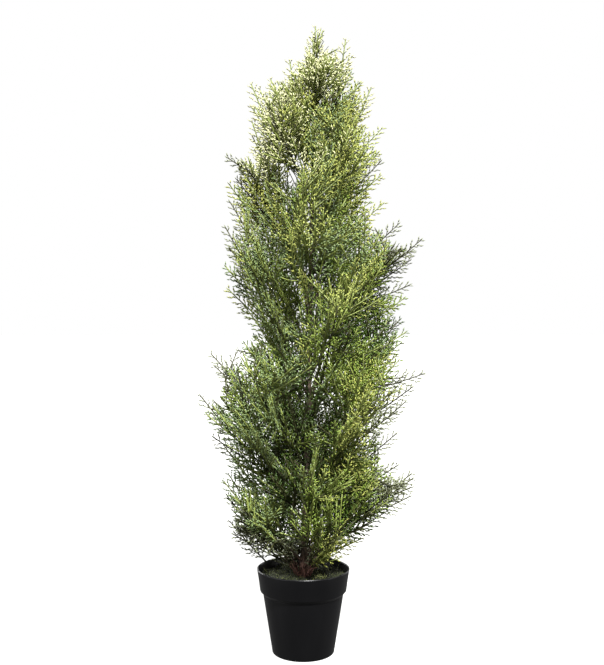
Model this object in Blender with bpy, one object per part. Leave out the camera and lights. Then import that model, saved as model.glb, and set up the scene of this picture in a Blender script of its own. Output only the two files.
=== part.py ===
"""An artificial cypress tree in a black nursery pot.

Lengths are in metres and +Z is up. The origin is at the centre of the pot's flat underside.

The trunk stands in the pot's filling and runs up through the whole crown. Each bough leaves it on a
golden-angle spiral and follows a curved spine: the bough is the bare first stretch of the spine, and a
mass of foliage grows on the rest. One more mass grows on the trunk's tip. In a mass, twigs leave a stem
on a spiral of their own and carry flat sprays. A twig or spray that would leave the space of its mass is
shortened, and left out where that doesn't help.
"""

import math
import random

import bmesh
import bpy
import numpy as np
from mathutils import Vector

TREE_HEIGHT = 1.200
CLEARANCE = 0.0003
GOLDEN_ANGLE = math.radians(137.508)

# Pot: a tapered body under a wider band that steps out just below the rim.
POT_HEIGHT = 0.160
POT_RIM_RADIUS = 0.0885
POT_BAND_BOTTOM = 0.1157
POT_BAND_RADIUS = 0.0826
POT_SHOULDER = 0.1067
POT_GROOVE_HEIGHT = 0.1103
POT_GROOVE_RADIUS = 0.0808
POT_BODY_RADIUS = 0.0766
POT_FOOT_RADIUS = 0.0595
POT_EDGE = 0.003
POT_WALL = 0.0026
POT_FLOOR = 0.004
POT_SIDES = 36

# Filling: a weighted plug with an uneven, moss-covered top, level where the trunk stands.
SOIL_HEIGHT = 0.143
SOIL_LUMP = 0.0030
SOIL_WAVES = ((1.0, 95, 80), (1.0, 95, -80), (0.6, -60, 150))
SOIL_LEVEL_RADIUS = 0.014
SOIL_FADE = 0.020
SOIL_RINGS = 5

# Trunk: nearly straight, leaning a little to +X, with a root flare at its foot.
TRUNK_TOP = 1.060
TRUNK_LEAN = 0.019
TRUNK_BOW = 0.004
TRUNK_FLARE_RADIUS = 0.0125
TRUNK_FOOT_RADIUS = 0.0068
TRUNK_TOP_RADIUS = 0.0022
TRUNK_FLARE_HEIGHT = 0.017
TRUNK_SIDES = 10
TRUNK_RINGS = 12
FLARE_RINGS = (0, 0.25, 0.55)

# Boughs: low and close at the foot of the crown, steeper and wider apart towards its top. The pairs of
# shares are the least and the most that a bough may draw: its reach as a share of the outline's, and its
# arch and sway as shares of its span.
BOUGHS = 27
CROWN_SEED = 376
CROWN_TURN = 5.23
TURN_JITTER = math.radians(12)
ROOT_LOWEST = 0.165
ROOT_HIGHEST = 1.020
ROOT_CROWDING = 1.74
RISE_LOWEST = math.radians(28)
RISE_HIGHEST = math.radians(62)
RISE_CROWDING = 0.4
RISE_JITTER = math.radians(6)
REACH_SHARES = (0.92, 1.14)
ARCH_SHARES = (0.02, 0.14)
SWAY_SHARES = (-0.06, 0.06)
TIP_HIGHEST = 1.165
TIP_SPRAY_REACH = 0.010
TIP_HEIGHT_PASSES = 6
BARE_SHARE = 0.20
BOUGH_ROOT_RADIUS = 0.0032
BOUGH_TIP_RADIUS = 0.0023
BOUGH_SIDES = 6
SPINE_SAMPLES = 25
NEARLY_UP = (0.13, 0.21, 0.97)

# Crown: its reach from the trunk at each height, with a gentle bulge that winds round it. Foliage stops
# short of the trunk, the pot and the open foot where the trunk shows, and of the next mass.
CROWN_OUTLINE = (
    (0.15, 0.085),
    (0.18, 0.105),
    (0.22, 0.135),
    (0.30, 0.172),
    (0.50, 0.182),
    (0.75, 0.178),
    (0.90, 0.146),
    (1.06, 0.112),
    (1.12, 0.078),
    (1.20, 0.020),
)
CROWN_SLACK = 1.12
SWIRL_SHARE = 0.114
SWIRL_PITCH = 0.418
SWIRL_HEIGHT = 0.614
CROWN_FOOT = 0.172
OPEN_FOOT_HEIGHT = 0.212
OPEN_FOOT_RADIUS = 0.050
TRUNK_MARGIN = 0.004
TWIG_MARGIN = 0.004
SPRAY_MARGIN = 0.003

# Foliage: twigs round each stem, and flat sprays on each twig. A mass with a short spine has smaller twigs
# and sprays, and so has the tip of each stem.
STEM_TIP_RADIUS = 0.0014
STEM_NECK = 0.90
STEM_RINGS = 3
LEAST_SIZE = 0.35
SIZE_PER_SPAN = 2.5
TWIGS = 8
FIRST_TWIG = 0.25
TWIG_TURN_JITTER = 0.3
TWIG_SPREADS = (30, 44)
TWIG_TILT = 0.5
TWIG_LENGTH = 0.104
TWIG_LENGTH_SHARES = (0.85, 1.1)
TWIG_LENGTH_AT_TIP = 0.42
TWIG_CHECKS = (0.5, 0.75, 1.0)
TWIG_ROOT_RADIUS = 0.0010
TWIG_TIP_RADIUS = 0.0007
SPRAY_LENGTH = 0.080
SPRAY_LENGTH_AT_TIP = 0.7
SPRAY_WIDTH_SHARE = 0.42
SPRAY_WIDEST = 0.42
SPRAY_THICKNESS = 0.0032
SPRAY_SPREAD = math.radians(44)
SIDE_SPRAYS = ((0.34, 1), (0.60, -1))
END_SPRAY_PLACE = 0.84
TRIMS = (1.0, 0.85, 0.7, 0.55, 0.4)

# Edges sharper than these angles, in degrees, aren't shaded round.
POT_SHARP = 30
TRUNK_SHARP = 40
SOIL_SHARP = 60
MERGE_DISTANCE = 1e-6

# Finishes: linear colour and roughness.
BLACK_PLASTIC = ((0.012, 0.012, 0.013), 0.42)
DARK_MOSS = ((0.050, 0.060, 0.022), 0.95)
BROWN_BARK = ((0.090, 0.050, 0.030), 0.80)
GREEN_LEAF = ((0.085, 0.165, 0.045), 0.55)


def mix(first, second, share):
    return first + (second - first) * share


def unit(vector):
    return vector / np.linalg.norm(vector)


# The crown's rule: spines, and the twigs and sprays that grow on them.


def trunk_centre(height):
    rise = (height - SOIL_HEIGHT) / (TREE_HEIGHT - SOIL_HEIGHT)
    return np.array((TRUNK_LEAN * rise * (2 - rise), TRUNK_BOW * math.sin(math.pi * rise), height))


def trunk_radius(height):
    rise = (height - SOIL_HEIGHT) / (TRUNK_TOP - SOIL_HEIGHT)
    flare = max(0.0, 1 - (height - SOIL_HEIGHT) / TRUNK_FLARE_HEIGHT)
    taper = mix(TRUNK_FOOT_RADIUS, TRUNK_TOP_RADIUS, min(rise, 1.0))
    return taper + (TRUNK_FLARE_RADIUS - TRUNK_FOOT_RADIUS) * flare**2


def crown_reach(height, azimuth):
    heights, reaches = zip(*CROWN_OUTLINE)
    bulge = 2 * math.pi * (height - SWIRL_HEIGHT) / SWIRL_PITCH
    return float(np.interp(height, heights, reaches)) * (1 + SWIRL_SHARE * math.cos(azimuth - bulge))


def bough_spine(index):
    """Points from the bough's root at the trunk to the tip of its foliage."""
    rng = random.Random(CROWN_SEED * 100 + index)
    share_up = index / (BOUGHS - 1)
    root_height = mix(ROOT_LOWEST, ROOT_HIGHEST, share_up**ROOT_CROWDING)
    azimuth = CROWN_TURN + index * GOLDEN_ANGLE + rng.uniform(-TURN_JITTER, TURN_JITTER)
    rise = mix(RISE_LOWEST, RISE_HIGHEST, share_up**RISE_CROWDING)
    rise += rng.uniform(-RISE_JITTER, RISE_JITTER)
    reach_share = rng.uniform(*REACH_SHARES)
    arch = rng.uniform(*ARCH_SHARES)
    sway = rng.uniform(*SWAY_SHARES)
    outward = np.array((math.cos(azimuth), math.sin(azimuth), 0.0))
    across = np.array((-math.sin(azimuth), math.cos(azimuth), 0.0))
    up = np.array((0.0, 0.0, 1.0))
    tip_height = root_height
    for _ in range(TIP_HEIGHT_PASSES):
        reach = reach_share * crown_reach(tip_height, azimuth)
        tip_height = min(root_height + reach * math.tan(rise), TIP_HIGHEST)
    root = trunk_centre(root_height) + outward * (trunk_radius(root_height) + CLEARANCE)
    tip = trunk_centre(tip_height) + outward * reach
    span = np.linalg.norm(tip - root)
    middle = (root + tip) / 2 + up * arch * span + across * sway * span
    along = np.linspace(0, 1, SPINE_SAMPLES)[:, None]
    return (1 - along) ** 2 * root + 2 * along * (1 - along) * middle + along**2 * tip


def leader_spine():
    heights = np.linspace(TRUNK_TOP, TREE_HEIGHT - TIP_SPRAY_REACH, SPINE_SAMPLES)
    return np.array([trunk_centre(height) for height in heights])


def spine_at(spine, share):
    """The point at this share of the spine, and its direction there."""
    place = share * (SPINE_SAMPLES - 1)
    step = min(int(place), SPINE_SAMPLES - 2)
    return mix(spine[step], spine[step + 1], place - step), unit(spine[step + 1] - spine[step])


def across_of(direction):
    """A unit vector square to the direction, the same each time and nearly level."""
    return unit(np.cross(direction, NEARLY_UP))


def in_crown(point, is_leader):
    """False beyond the crown's outline, against the trunk, over the pot and in the open foot."""
    centre = trunk_centre(min(point[2], TREE_HEIGHT))
    offset = point - centre
    distance = math.hypot(offset[0], offset[1])
    if point[2] < TRUNK_TOP + TIP_SPRAY_REACH and distance < trunk_radius(point[2]) + TRUNK_MARGIN:
        return False
    azimuth = math.atan2(offset[1], offset[0])
    if not is_leader and distance > CROWN_SLACK * crown_reach(point[2], azimuth):
        return False
    in_front_of_foot = abs(point[0]) < OPEN_FOOT_RADIUS and point[1] < 0
    if point[2] < OPEN_FOOT_HEIGHT and (distance < OPEN_FOOT_RADIUS or in_front_of_foot):
        return False
    return CROWN_FOOT < point[2] < TREE_HEIGHT


def in_space(spines, index, points, margin):
    """True where every point is nearer to this mass's spine than to any other, by the margin."""
    points = np.asarray(points)
    gaps = np.sqrt(((points[:, None, None, :] - spines[None]) ** 2).sum(3)).min(2)
    own = gaps[:, index].copy()
    gaps[:, index] = np.inf
    if (own + margin > gaps.min(1)).any():
        return False
    return all(in_crown(point, index == BOUGHS) for point in points)


def spray_corners(root, direction, normal, length):
    """Points of a spray that have to stay in its mass's space."""
    wing = np.cross(normal, direction) * length * SPRAY_WIDTH_SHARE / 2
    middle = root + direction * length / 2
    return [root + direction * length, middle + wing, middle - wing, root + direction * length / 4]


def grow_mass(spines, index):
    """The twigs of one mass, each as (start, end, normal, reach of its end spray), and its side sprays,
    each as (root, heading, normal, length)."""
    spine = spines[index]
    seed = CROWN_SEED * 100 + index
    roll = random.Random(seed).uniform(0, 2 * math.pi)
    size = min(1.0, LEAST_SIZE + SIZE_PER_SPAN * np.linalg.norm(spine[-1] - spine[0]))
    twigs, sprays = [], []
    for number in range(TWIGS):
        rng = random.Random(seed * 100 + number)
        share = (number + FIRST_TWIG) / TWIGS
        origin, forward = spine_at(spine, mix(stem_start(index), 1.0, share))
        around = roll + number * GOLDEN_ANGLE + rng.uniform(-TWIG_TURN_JITTER, TWIG_TURN_JITTER)
        spread = math.radians(rng.uniform(*TWIG_SPREADS))
        side = across_of(forward)
        outward = math.cos(around) * side + math.sin(around) * np.cross(side, forward)
        heading = math.cos(spread) * forward + math.sin(spread) * outward
        full = TWIG_LENGTH * size * mix(1.0, TWIG_LENGTH_AT_TIP, share) * rng.uniform(*TWIG_LENGTH_SHARES)
        tilt = rng.uniform(-TWIG_TILT, TWIG_TILT)
        flat = unit(np.cross(heading, forward))
        normal = math.cos(tilt) * flat + math.sin(tilt) * np.cross(heading, flat)
        end = trimmed_twig(spines, index, origin, heading * full)
        if end is None:
            continue
        spray_length = SPRAY_LENGTH * size * mix(1.0, SPRAY_LENGTH_AT_TIP, share)
        end_root = mix(origin, end, END_SPRAY_PLACE)
        end_length = trimmed_spray(spines, index, end_root, heading, normal, spray_length)
        twigs.append((origin, end, normal, end_length))
        for place, turn in SIDE_SPRAYS:
            root = mix(origin, end, place)
            angle = turn * SPRAY_SPREAD
            aside = math.cos(angle) * heading + math.sin(angle) * np.cross(normal, heading)
            length = trimmed_spray(spines, index, root, aside, normal, spray_length)
            if length:
                sprays.append((root, aside, normal, length))
    return twigs, sprays


def stem_start(index):
    return 0.0 if index == BOUGHS else BARE_SHARE


def trimmed_twig(spines, index, origin, reach):
    for trim in TRIMS:
        points = [origin + reach * trim * share for share in TWIG_CHECKS]
        if in_space(spines, index, points, TWIG_MARGIN):
            return points[-1]
    return None


def trimmed_spray(spines, index, root, heading, normal, full):
    for trim in TRIMS[:-1]:
        length = full * trim
        if in_space(spines, index, spray_corners(root, heading, normal, length), SPRAY_MARGIN):
            return length
    return None


def tip_spray(spine):
    """The spray that ends the mass, along the last of its stem."""
    root, forward = spine_at(spine, STEM_NECK)
    heading = unit(spine[-1] - root)
    return root, heading, across_of(forward), np.linalg.norm(spine[-1] - root) + TIP_SPRAY_REACH


# Building blocks.


def material(name, colour, roughness):
    made = bpy.data.materials.new(name)
    made.use_nodes = True
    shader = made.node_tree.nodes["Principled BSDF"]
    shader.inputs["Base Color"].default_value = (*colour, 1)
    shader.inputs["Roughness"].default_value = roughness
    shader.inputs["Metallic"].default_value = 0.0
    return made


def object_from(name, bm, finish, parent):
    mesh = bpy.data.meshes.new(name)
    bmesh.ops.recalc_face_normals(bm, faces=bm.faces)
    bm.to_mesh(mesh)
    bm.free()
    mesh.materials.append(finish)
    made = bpy.data.objects.new(name, mesh)
    bpy.context.scene.collection.objects.link(made)
    made.parent = parent
    return made


def shade_round(made, sharp_angle=TRUNK_SHARP):
    made.data.shade_smooth()
    made.data.set_sharp_from_angle(angle=math.radians(sharp_angle))


def ring(bm, centre, direction, radius, sides):
    """Vertices of a circle square to the direction."""
    side = across_of(direction)
    other = np.cross(direction, side)
    turns = [2 * math.pi * number / sides for number in range(sides)]
    return [
        bm.verts.new(centre + radius * (math.cos(turn) * side + math.sin(turn) * other)) for turn in turns
    ]


def walls(bm, rings):
    for lower, upper in zip(rings, rings[1:]):
        for number in range(len(lower)):
            after = (number + 1) % len(lower)
            bm.faces.new((lower[number], lower[after], upper[after], upper[number]))


def skin(bm, rings):
    """Walls between neighbouring rings, and a flat cap on each end."""
    walls(bm, rings)
    bm.faces.new(rings[0])
    bm.faces.new(rings[-1])


def turned(bm, profile, sides):
    """A profile of (radius, height) turned about Z, starting and ending on the axis."""
    verts = [bm.verts.new((radius, 0, height)) for radius, height in profile]
    edges = [bm.edges.new(pair) for pair in zip(verts, verts[1:])]
    bmesh.ops.spin(
        bm,
        geom=verts + edges,
        axis=(0, 0, 1),
        cent=(0, 0, 0),
        angle=2 * math.pi,
        steps=sides,
        use_merge=True,
    )
    bmesh.ops.remove_doubles(bm, verts=bm.verts, dist=MERGE_DISTANCE)


def arc(centre, radius, start, end, steps):
    """Points (radius, height) of an arc between two angles in degrees."""
    angles = [math.radians(mix(start, end, step / steps)) for step in range(steps + 1)]
    return [(centre[0] + radius * math.cos(a), centre[1] + radius * math.sin(a)) for a in angles]


def union(base, pieces):
    """Joins the pieces to the base with one Boolean on their collection, and removes them."""
    group = bpy.data.collections.new(base.name + "_pieces")
    for piece in pieces:
        group.objects.link(piece)
    modifier = base.modifiers.new("Union", "BOOLEAN")
    modifier.operation = "UNION"
    modifier.operand_type = "COLLECTION"
    modifier.collection = group
    graph = bpy.context.evaluated_depsgraph_get()
    joined = bpy.data.meshes.new_from_object(base.evaluated_get(graph))
    base.modifiers.remove(modifier)
    base.data = joined
    for piece in pieces:
        bpy.data.objects.remove(piece)
    bpy.data.collections.remove(group)


# Sub-parts.


def build_pot(finish, parent):
    wall = POT_WALL
    foot = arc((POT_FOOT_RADIUS - POT_EDGE, POT_EDGE), POT_EDGE, -90, 0, 2)
    lip = arc((POT_RIM_RADIUS - wall / 2, POT_HEIGHT - wall / 2), wall / 2, 0, 180, 4)
    profile = [
        (0, 0),
        *foot,
        (POT_BODY_RADIUS, POT_SHOULDER),
        (POT_GROOVE_RADIUS, POT_GROOVE_HEIGHT),
        (POT_BAND_RADIUS, POT_BAND_BOTTOM),
        *lip,
        (POT_BAND_RADIUS - wall, POT_BAND_BOTTOM),
        (POT_BODY_RADIUS - wall, POT_SHOULDER),
        (POT_FOOT_RADIUS - wall, POT_FLOOR),
        (0, POT_FLOOR),
    ]
    bm = bmesh.new()
    turned(bm, profile, POT_SIDES)
    pot = object_from("pot", bm, finish, parent)
    shade_round(pot, POT_SHARP)


def soil_rise(x, y):
    """Height of the moss above the filling's level: crossing waves that die out round the trunk."""
    lumps = sum(share * math.sin(across * x + along * y) for share, across, along in SOIL_WAVES)
    fade = min(1.0, max(0.0, math.hypot(x, y) - SOIL_LEVEL_RADIUS) / SOIL_FADE)
    return SOIL_LUMP * lumps * fade / len(SOIL_WAVES)


def build_pot_fill(finish, parent):
    gap = POT_WALL + CLEARANCE
    top = SOIL_HEIGHT - CLEARANCE
    slope = (POT_RIM_RADIUS - POT_BAND_RADIUS) / (POT_HEIGHT - POT_BAND_BOTTOM)
    edge = POT_BAND_RADIUS + slope * (top - SOIL_LUMP - POT_BAND_BOTTOM) - gap
    rings = [mix(edge, SOIL_LEVEL_RADIUS, number / SOIL_RINGS) for number in range(SOIL_RINGS + 1)]
    profile = [
        (0, POT_FLOOR + CLEARANCE),
        (POT_FOOT_RADIUS - gap, POT_FLOOR + CLEARANCE),
        (POT_BODY_RADIUS - gap, POT_SHOULDER),
        (POT_BAND_RADIUS - gap, POT_BAND_BOTTOM + CLEARANCE),
        *[(radius, top) for radius in rings],
        (0, top),
    ]
    bm = bmesh.new()
    turned(bm, profile, POT_SIDES)
    for vert in bm.verts:
        if vert.co.z > top - CLEARANCE:
            vert.co.z += soil_rise(vert.co.x, vert.co.y)
            if math.hypot(vert.co.x, vert.co.y) > edge - CLEARANCE:
                vert.co.z = top - SOIL_LUMP
    shade_round(object_from("pot_fill", bm, finish, parent), SOIL_SHARP)


def build_trunk(finish, parent):
    flare = [SOIL_HEIGHT + TRUNK_FLARE_HEIGHT * share for share in FLARE_RINGS]
    shaft = list(np.linspace(SOIL_HEIGHT + TRUNK_FLARE_HEIGHT, TRUNK_TOP, TRUNK_RINGS))
    up = np.array((0.0, 0.0, 1.0))
    bm = bmesh.new()
    skin(bm, [ring(bm, trunk_centre(h), up, trunk_radius(h), TRUNK_SIDES) for h in flare + shaft])
    shade_round(object_from("trunk", bm, finish, parent))


def build_bough(index, spine, finish, parent):
    """The bare start of a spine, its root cut parallel to the trunk's side."""
    bm = bmesh.new()
    rings = []
    for share in (0, 0.5, 1):
        centre, forward = spine_at(spine, BARE_SHARE * share)
        radius = mix(BOUGH_ROOT_RADIUS, BOUGH_TIP_RADIUS, share)
        rings.append(ring(bm, centre, forward, radius, BOUGH_SIDES))
    root, forward = spine_at(spine, 0)
    trunk_line = unit(trunk_centre(root[2] + 0.01) - trunk_centre(root[2]))
    outward = root - trunk_centre(root[2])
    facing = unit(outward - trunk_line * (outward @ trunk_line))
    for vert in rings[0]:
        offset = np.array(vert.co) - root
        vert.co = Vector(root + offset - forward * (offset @ facing) / (forward @ facing))
    skin(bm, rings)
    shade_round(object_from(f"bough_{index + 1:02d}", bm, finish, parent))


def section(bm, centre, normal, wing, half_width, half_depth):
    """Three vertices: a ridge on the upper side, and the two edges."""
    corners = ((0, 1), (-1, -0.5), (1, -0.5))
    return [bm.verts.new(centre + wing * half_width * x + normal * half_depth * y) for x, y in corners]


def blade(bm, root, heading, normal, length):
    """The widest section of a spray and its tip, joined by three faces."""
    wing = np.cross(normal, heading)
    widest = root + heading * length * SPRAY_WIDEST
    wide = section(bm, widest, normal, wing, length * SPRAY_WIDTH_SHARE / 2, SPRAY_THICKNESS / 2)
    tip = bm.verts.new(root + heading * length)
    fan(bm, wide, tip)
    return wide


def fan(bm, corners, point):
    for number in range(len(corners)):
        bm.faces.new((corners[number], corners[(number + 1) % len(corners)], point))


def build_stem(name, index, spine, finish, parent):
    """The three-sided stem of a mass, its root square to the bough's tip and its end a flat spray."""
    bm = bmesh.new()
    rings = []
    for number in range(STEM_RINGS + 1):
        share = number / STEM_RINGS
        centre, forward = spine_at(spine, mix(stem_start(index), STEM_NECK, share))
        if number == 0:
            centre = centre + forward * CLEARANCE
        radius = mix(BOUGH_TIP_RADIUS, STEM_TIP_RADIUS, share)
        normal = across_of(forward)
        rings.append(section(bm, centre, normal, np.cross(normal, forward), radius, radius))
    bm.faces.new(rings[0])
    rings.append(blade(bm, *tip_spray(spine)))
    walls(bm, rings)
    return object_from(name, bm, finish, parent)


def build_twig(start, end, normal, spray_length, finish):
    """A three-sided twig that widens into a flat spray, or one that just ends where no spray fits."""
    heading = unit(end - start)
    wing = np.cross(normal, heading)
    neck = end if spray_length is None else mix(start, end, END_SPRAY_PLACE)
    bm = bmesh.new()
    root_ring = section(bm, start, normal, wing, TWIG_ROOT_RADIUS, TWIG_ROOT_RADIUS)
    neck_ring = section(bm, neck, normal, wing, TWIG_TIP_RADIUS, TWIG_TIP_RADIUS)
    walls(bm, [root_ring, neck_ring])
    bm.faces.new(root_ring)
    if spray_length is None:
        bm.faces.new(neck_ring)
    else:
        walls(bm, [neck_ring, blade(bm, neck, heading, normal, spray_length)])
    return object_from("twig", bm, finish, None)


def build_spray(root, heading, normal, length, finish):
    """A flat six-faced blade, its pointed root sunk to the middle of the twig."""
    bm = bmesh.new()
    fan(bm, blade(bm, root, heading, normal, length), bm.verts.new(root))
    return object_from("spray", bm, finish, None)


def build_mass(name, index, spines, finish, parent):
    stem = build_stem(name, index, spines[index], finish, parent)
    twigs, sprays = grow_mass(spines, index)
    pieces = [build_twig(*twig, finish) for twig in twigs]
    pieces += [build_spray(*spray, finish) for spray in sprays]
    union(stem, pieces)


def main():
    for old in list(bpy.data.objects):
        bpy.data.objects.remove(old)
    tree = bpy.data.objects.new("artificial_cypress", None)
    bpy.context.scene.collection.objects.link(tree)

    plastic = material("pot_plastic", *BLACK_PLASTIC)
    moss = material("mossy_fill", *DARK_MOSS)
    bark = material("bark", *BROWN_BARK)
    foliage = material("foliage", *GREEN_LEAF)

    build_pot(plastic, tree)
    build_pot_fill(moss, tree)
    build_trunk(bark, tree)
    spines = np.array([bough_spine(index) for index in range(BOUGHS)] + [leader_spine()])
    for index in range(BOUGHS):
        build_bough(index, spines[index], bark, tree)
        build_mass(f"foliage_{index + 1:02d}", index, spines, foliage, tree)
    build_mass("foliage_tip", BOUGHS, spines, foliage, tree)


main()
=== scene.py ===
"""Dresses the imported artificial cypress: its black pot, moss, bark, wired twigs and small moulded leaves.

Lengths are in metres and +Z is up, as in the frame. The crown grows by the rule of the solids that it
replaces. The same spines, twigs and sprays come first, finer twigs follow between them, and each spray
becomes a frond: a rachis with side twiglets that carry the leaves.
"""

import functools
import math
import random

import bmesh
import bpy
import numpy as np
from mathutils import Matrix, Vector, noise


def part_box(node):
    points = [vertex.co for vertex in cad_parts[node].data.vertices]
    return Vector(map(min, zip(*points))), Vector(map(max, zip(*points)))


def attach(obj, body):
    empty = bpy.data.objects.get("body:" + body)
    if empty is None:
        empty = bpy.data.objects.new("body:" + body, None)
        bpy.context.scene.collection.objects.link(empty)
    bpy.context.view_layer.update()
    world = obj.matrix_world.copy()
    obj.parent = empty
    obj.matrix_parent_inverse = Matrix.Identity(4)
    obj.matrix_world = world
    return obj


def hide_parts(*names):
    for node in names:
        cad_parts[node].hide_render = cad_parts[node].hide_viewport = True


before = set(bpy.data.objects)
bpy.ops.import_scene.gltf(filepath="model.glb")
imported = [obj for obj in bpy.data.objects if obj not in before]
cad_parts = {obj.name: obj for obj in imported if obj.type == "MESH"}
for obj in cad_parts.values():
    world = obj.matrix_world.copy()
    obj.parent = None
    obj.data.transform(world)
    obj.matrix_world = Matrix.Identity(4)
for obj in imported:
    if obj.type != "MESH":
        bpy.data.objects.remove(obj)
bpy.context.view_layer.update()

bl_info = {
    "name": "Artificial Cypress in a Nursery Pot",
    "version": (1, 0, 0),
    "blender": (4, 5, 0),
    "location": "3D View > Sidebar > Cypress",
    "description": "Builds the pot, moss, bark, twigs and leaves of a slim artificial cypress",
    "category": "Add Mesh",
}

BODY = "root"
POT_NODE = "pot"
FILL_NODE = "pot_fill"
BARK_NODES = [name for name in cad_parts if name.startswith(("trunk", "bough"))]
FOLIAGE_NODES = [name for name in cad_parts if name.startswith("foliage")]
POT_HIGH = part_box(POT_NODE)[1]
FILL_LOW, FILL_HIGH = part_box(FILL_NODE)

# Where the eye stands: its distance in front of the trunk, its height and its shift from the middle.
EYE_DISTANCE = 1.652
EYE_HEIGHT = 0.610
EYE_SHIFT = -0.0025

# The rule of the crown, as the solids have it.
TREE_HEIGHT = 1.200
CLEARANCE = 0.0003
GOLDEN_ANGLE = math.radians(137.508)
SOIL_HEIGHT = 0.143
TRUNK_TOP = 1.060
TRUNK_LEAN = 0.019
TRUNK_BOW = 0.004
TRUNK_FLARE_RADIUS = 0.0125
TRUNK_FOOT_RADIUS = 0.0068
TRUNK_TOP_RADIUS = 0.0022
TRUNK_FLARE_HEIGHT = 0.017
BOUGHS = 27
CROWN_SEED = 376
CROWN_TURN = 5.23
TURN_JITTER = math.radians(12)
ROOT_HEIGHTS = (0.165, 1.020)
ROOT_CROWDING = 1.74
RISES = (math.radians(28), math.radians(62))
RISE_CROWDING = 0.4
RISE_JITTER = math.radians(6)
REACH_SHARES = (0.92, 1.14)
ARCH_SHARES = (0.02, 0.14)
SWAY_SHARES = (-0.06, 0.06)
TIP_HIGHEST = 1.165
TIP_SPRAY_REACH = 0.010
TIP_HEIGHT_PASSES = 6
BARE_SHARE = 0.20
BOUGH_RADII = (0.0032, 0.0023)
SPINE_SAMPLES = 25
NEARLY_UP = (0.13, 0.21, 0.97)
CROWN_OUTLINE = (
    (0.15, 0.085), (0.18, 0.105), (0.22, 0.135), (0.30, 0.172), (0.50, 0.182),
    (0.75, 0.178), (0.90, 0.146), (1.06, 0.112), (1.12, 0.078), (1.20, 0.020),
)
CROWN_SLACK = 1.12
SWIRL_SHARE = 0.114
SWIRL_PITCH = 0.418
SWIRL_HEIGHT = 0.614
CROWN_FOOT = 0.172
OPEN_FOOT_HEIGHT = 0.212
OPEN_FOOT_RADIUS = 0.050
TRUNK_MARGIN = 0.004
TWIG_MARGIN = 0.004
STEM_RADII = (0.0023, 0.0014)
STEM_NECK = 0.90
STEM_TRIM = 0.02
STEM_POINTS = 10
LEAST_SIZE = 0.35
SIZE_PER_SPAN = 2.5
TWIGS = 8
FIRST_TWIG = 0.25
TWIG_TURN_JITTER = 0.3
TWIG_SPREADS = (30, 44)
TWIG_TILT = 0.5
TWIG_LENGTH = 0.104
TWIG_LENGTH_SHARES = (0.85, 1.1)
TWIG_LENGTH_AT_TIP = 0.42
TWIG_CHECKS = (0.5, 0.75, 1.0)
TWIG_RADII = (0.0010, 0.0007)
TWIG_SHARES = (0, 0.3, 0.6, 0.9)
SPRAY_LENGTH = 0.080
SPRAY_LENGTH_AT_TIP = 0.7
SPRAY_WIDTH_SHARE = 0.42
SPRAY_SPREAD = math.radians(44)
END_SPRAY_PLACE = 0.84
TRIMS = (1.0, 0.85, 0.7, 0.55, 0.4)

# The finer growth: more layers of twigs, and more and longer fronds on every twig.
LAYERS = 3
FROND_PLACES = ((0.22, 0.85), (0.42, -0.75), (0.62, 0.65), (0.78, -0.6))
FROND_STRETCH = 1.22
FROND_WIDTH_SHARE = 0.39
FROND_WIDEST = 0.20
FROND_OPENING = 0.6
FROND_TAPER = 0.65
FROND_BARE = 0.06
FROND_CURL = 0.08
FROND_LIFT = (0.04, 0.18)
FROND_TRIMS = (1.0, 0.9, 0.8, 0.7, 0.6, 0.5)
TWIG_BOW = 0.05
TWIGLET_ANGLES = (math.radians(42), math.radians(34))
TWIGLET_JITTER = 0.10
TWIGLET_PITCH = 0.10
LEAST_TWIGLET = 0.0055
RACHIS_RADII = (0.0018, 0.0013)
TWIGLET_RADIUS = 0.0010
LEAF_ANGLE = math.radians(14)
LEAF_PITCH = 0.12
LEAF_ROLL = 0.35
LEAF_WIDEST = 0.45
LEAF_JITTER = 0.15
LEAF_LENGTHS = (0.78, 1.08)
FIRST_LEAF = 0.7
TWIGLET_SCATTER = 0.2
TWIGLET_REACHES = (0.8, 1.05)
RACHIS_POINTS = 5
MOST_TRIANGLES = 190_000
CROWN_INSET = 0.011
LEAST_REACH = 0.002
THINNING_HEIGHTS = (0.20, 0.60, 0.88, 1.12)
THINNED_SHARES = (0.18, 0.26, 0.36, 0.60)
EVEN_THINNING = 0.15
TRUNK_SPRAYS = 280
TRUNK_SPRAY_HEIGHTS = (0.215, 1.120)
TRUNK_SPRAY_RISES = (28, 62)
TRUNK_SPRAY_LENGTHS = (0.085, 0.115)
TRUNK_SPRAY_ROOTS = (0.004, 0.045)
TRUNK_SPRAY_JITTER = 0.4
TRUNK_SPRAY_SEED = CROWN_SEED * 1000

# How far the crown reaches from the middle plane, to the left and to the right, at each height.
CROWN_SIDES = (
    (0.172, 0.075, 0.080), (0.190, 0.086, 0.090), (0.217, 0.136, 0.112), (0.250, 0.142, 0.140),
    (0.300, 0.148, 0.208), (0.325, 0.146, 0.208), (0.345, 0.136, 0.156), (0.375, 0.140, 0.160),
    (0.410, 0.162, 0.152), (0.450, 0.184, 0.160), (0.476, 0.188, 0.186), (0.510, 0.158, 0.206),
    (0.535, 0.166, 0.208), (0.565, 0.158, 0.190), (0.600, 0.104, 0.196), (0.645, 0.098, 0.194),
    (0.685, 0.138, 0.186), (0.712, 0.146, 0.166), (0.740, 0.154, 0.190), (0.765, 0.150, 0.210),
    (0.790, 0.146, 0.176), (0.820, 0.134, 0.128), (0.850, 0.142, 0.140), (0.895, 0.142, 0.136),
    (0.935, 0.138, 0.154), (0.955, 0.092, 0.148), (1.020, 0.100, 0.122), (1.050, 0.102, 0.130),
    (1.080, 0.090, 0.122), (1.105, 0.030, 0.096), (1.140, 0.012, 0.090), (1.170, 0.000, 0.070),
    (1.200, -0.008, 0.040),
)

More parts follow.
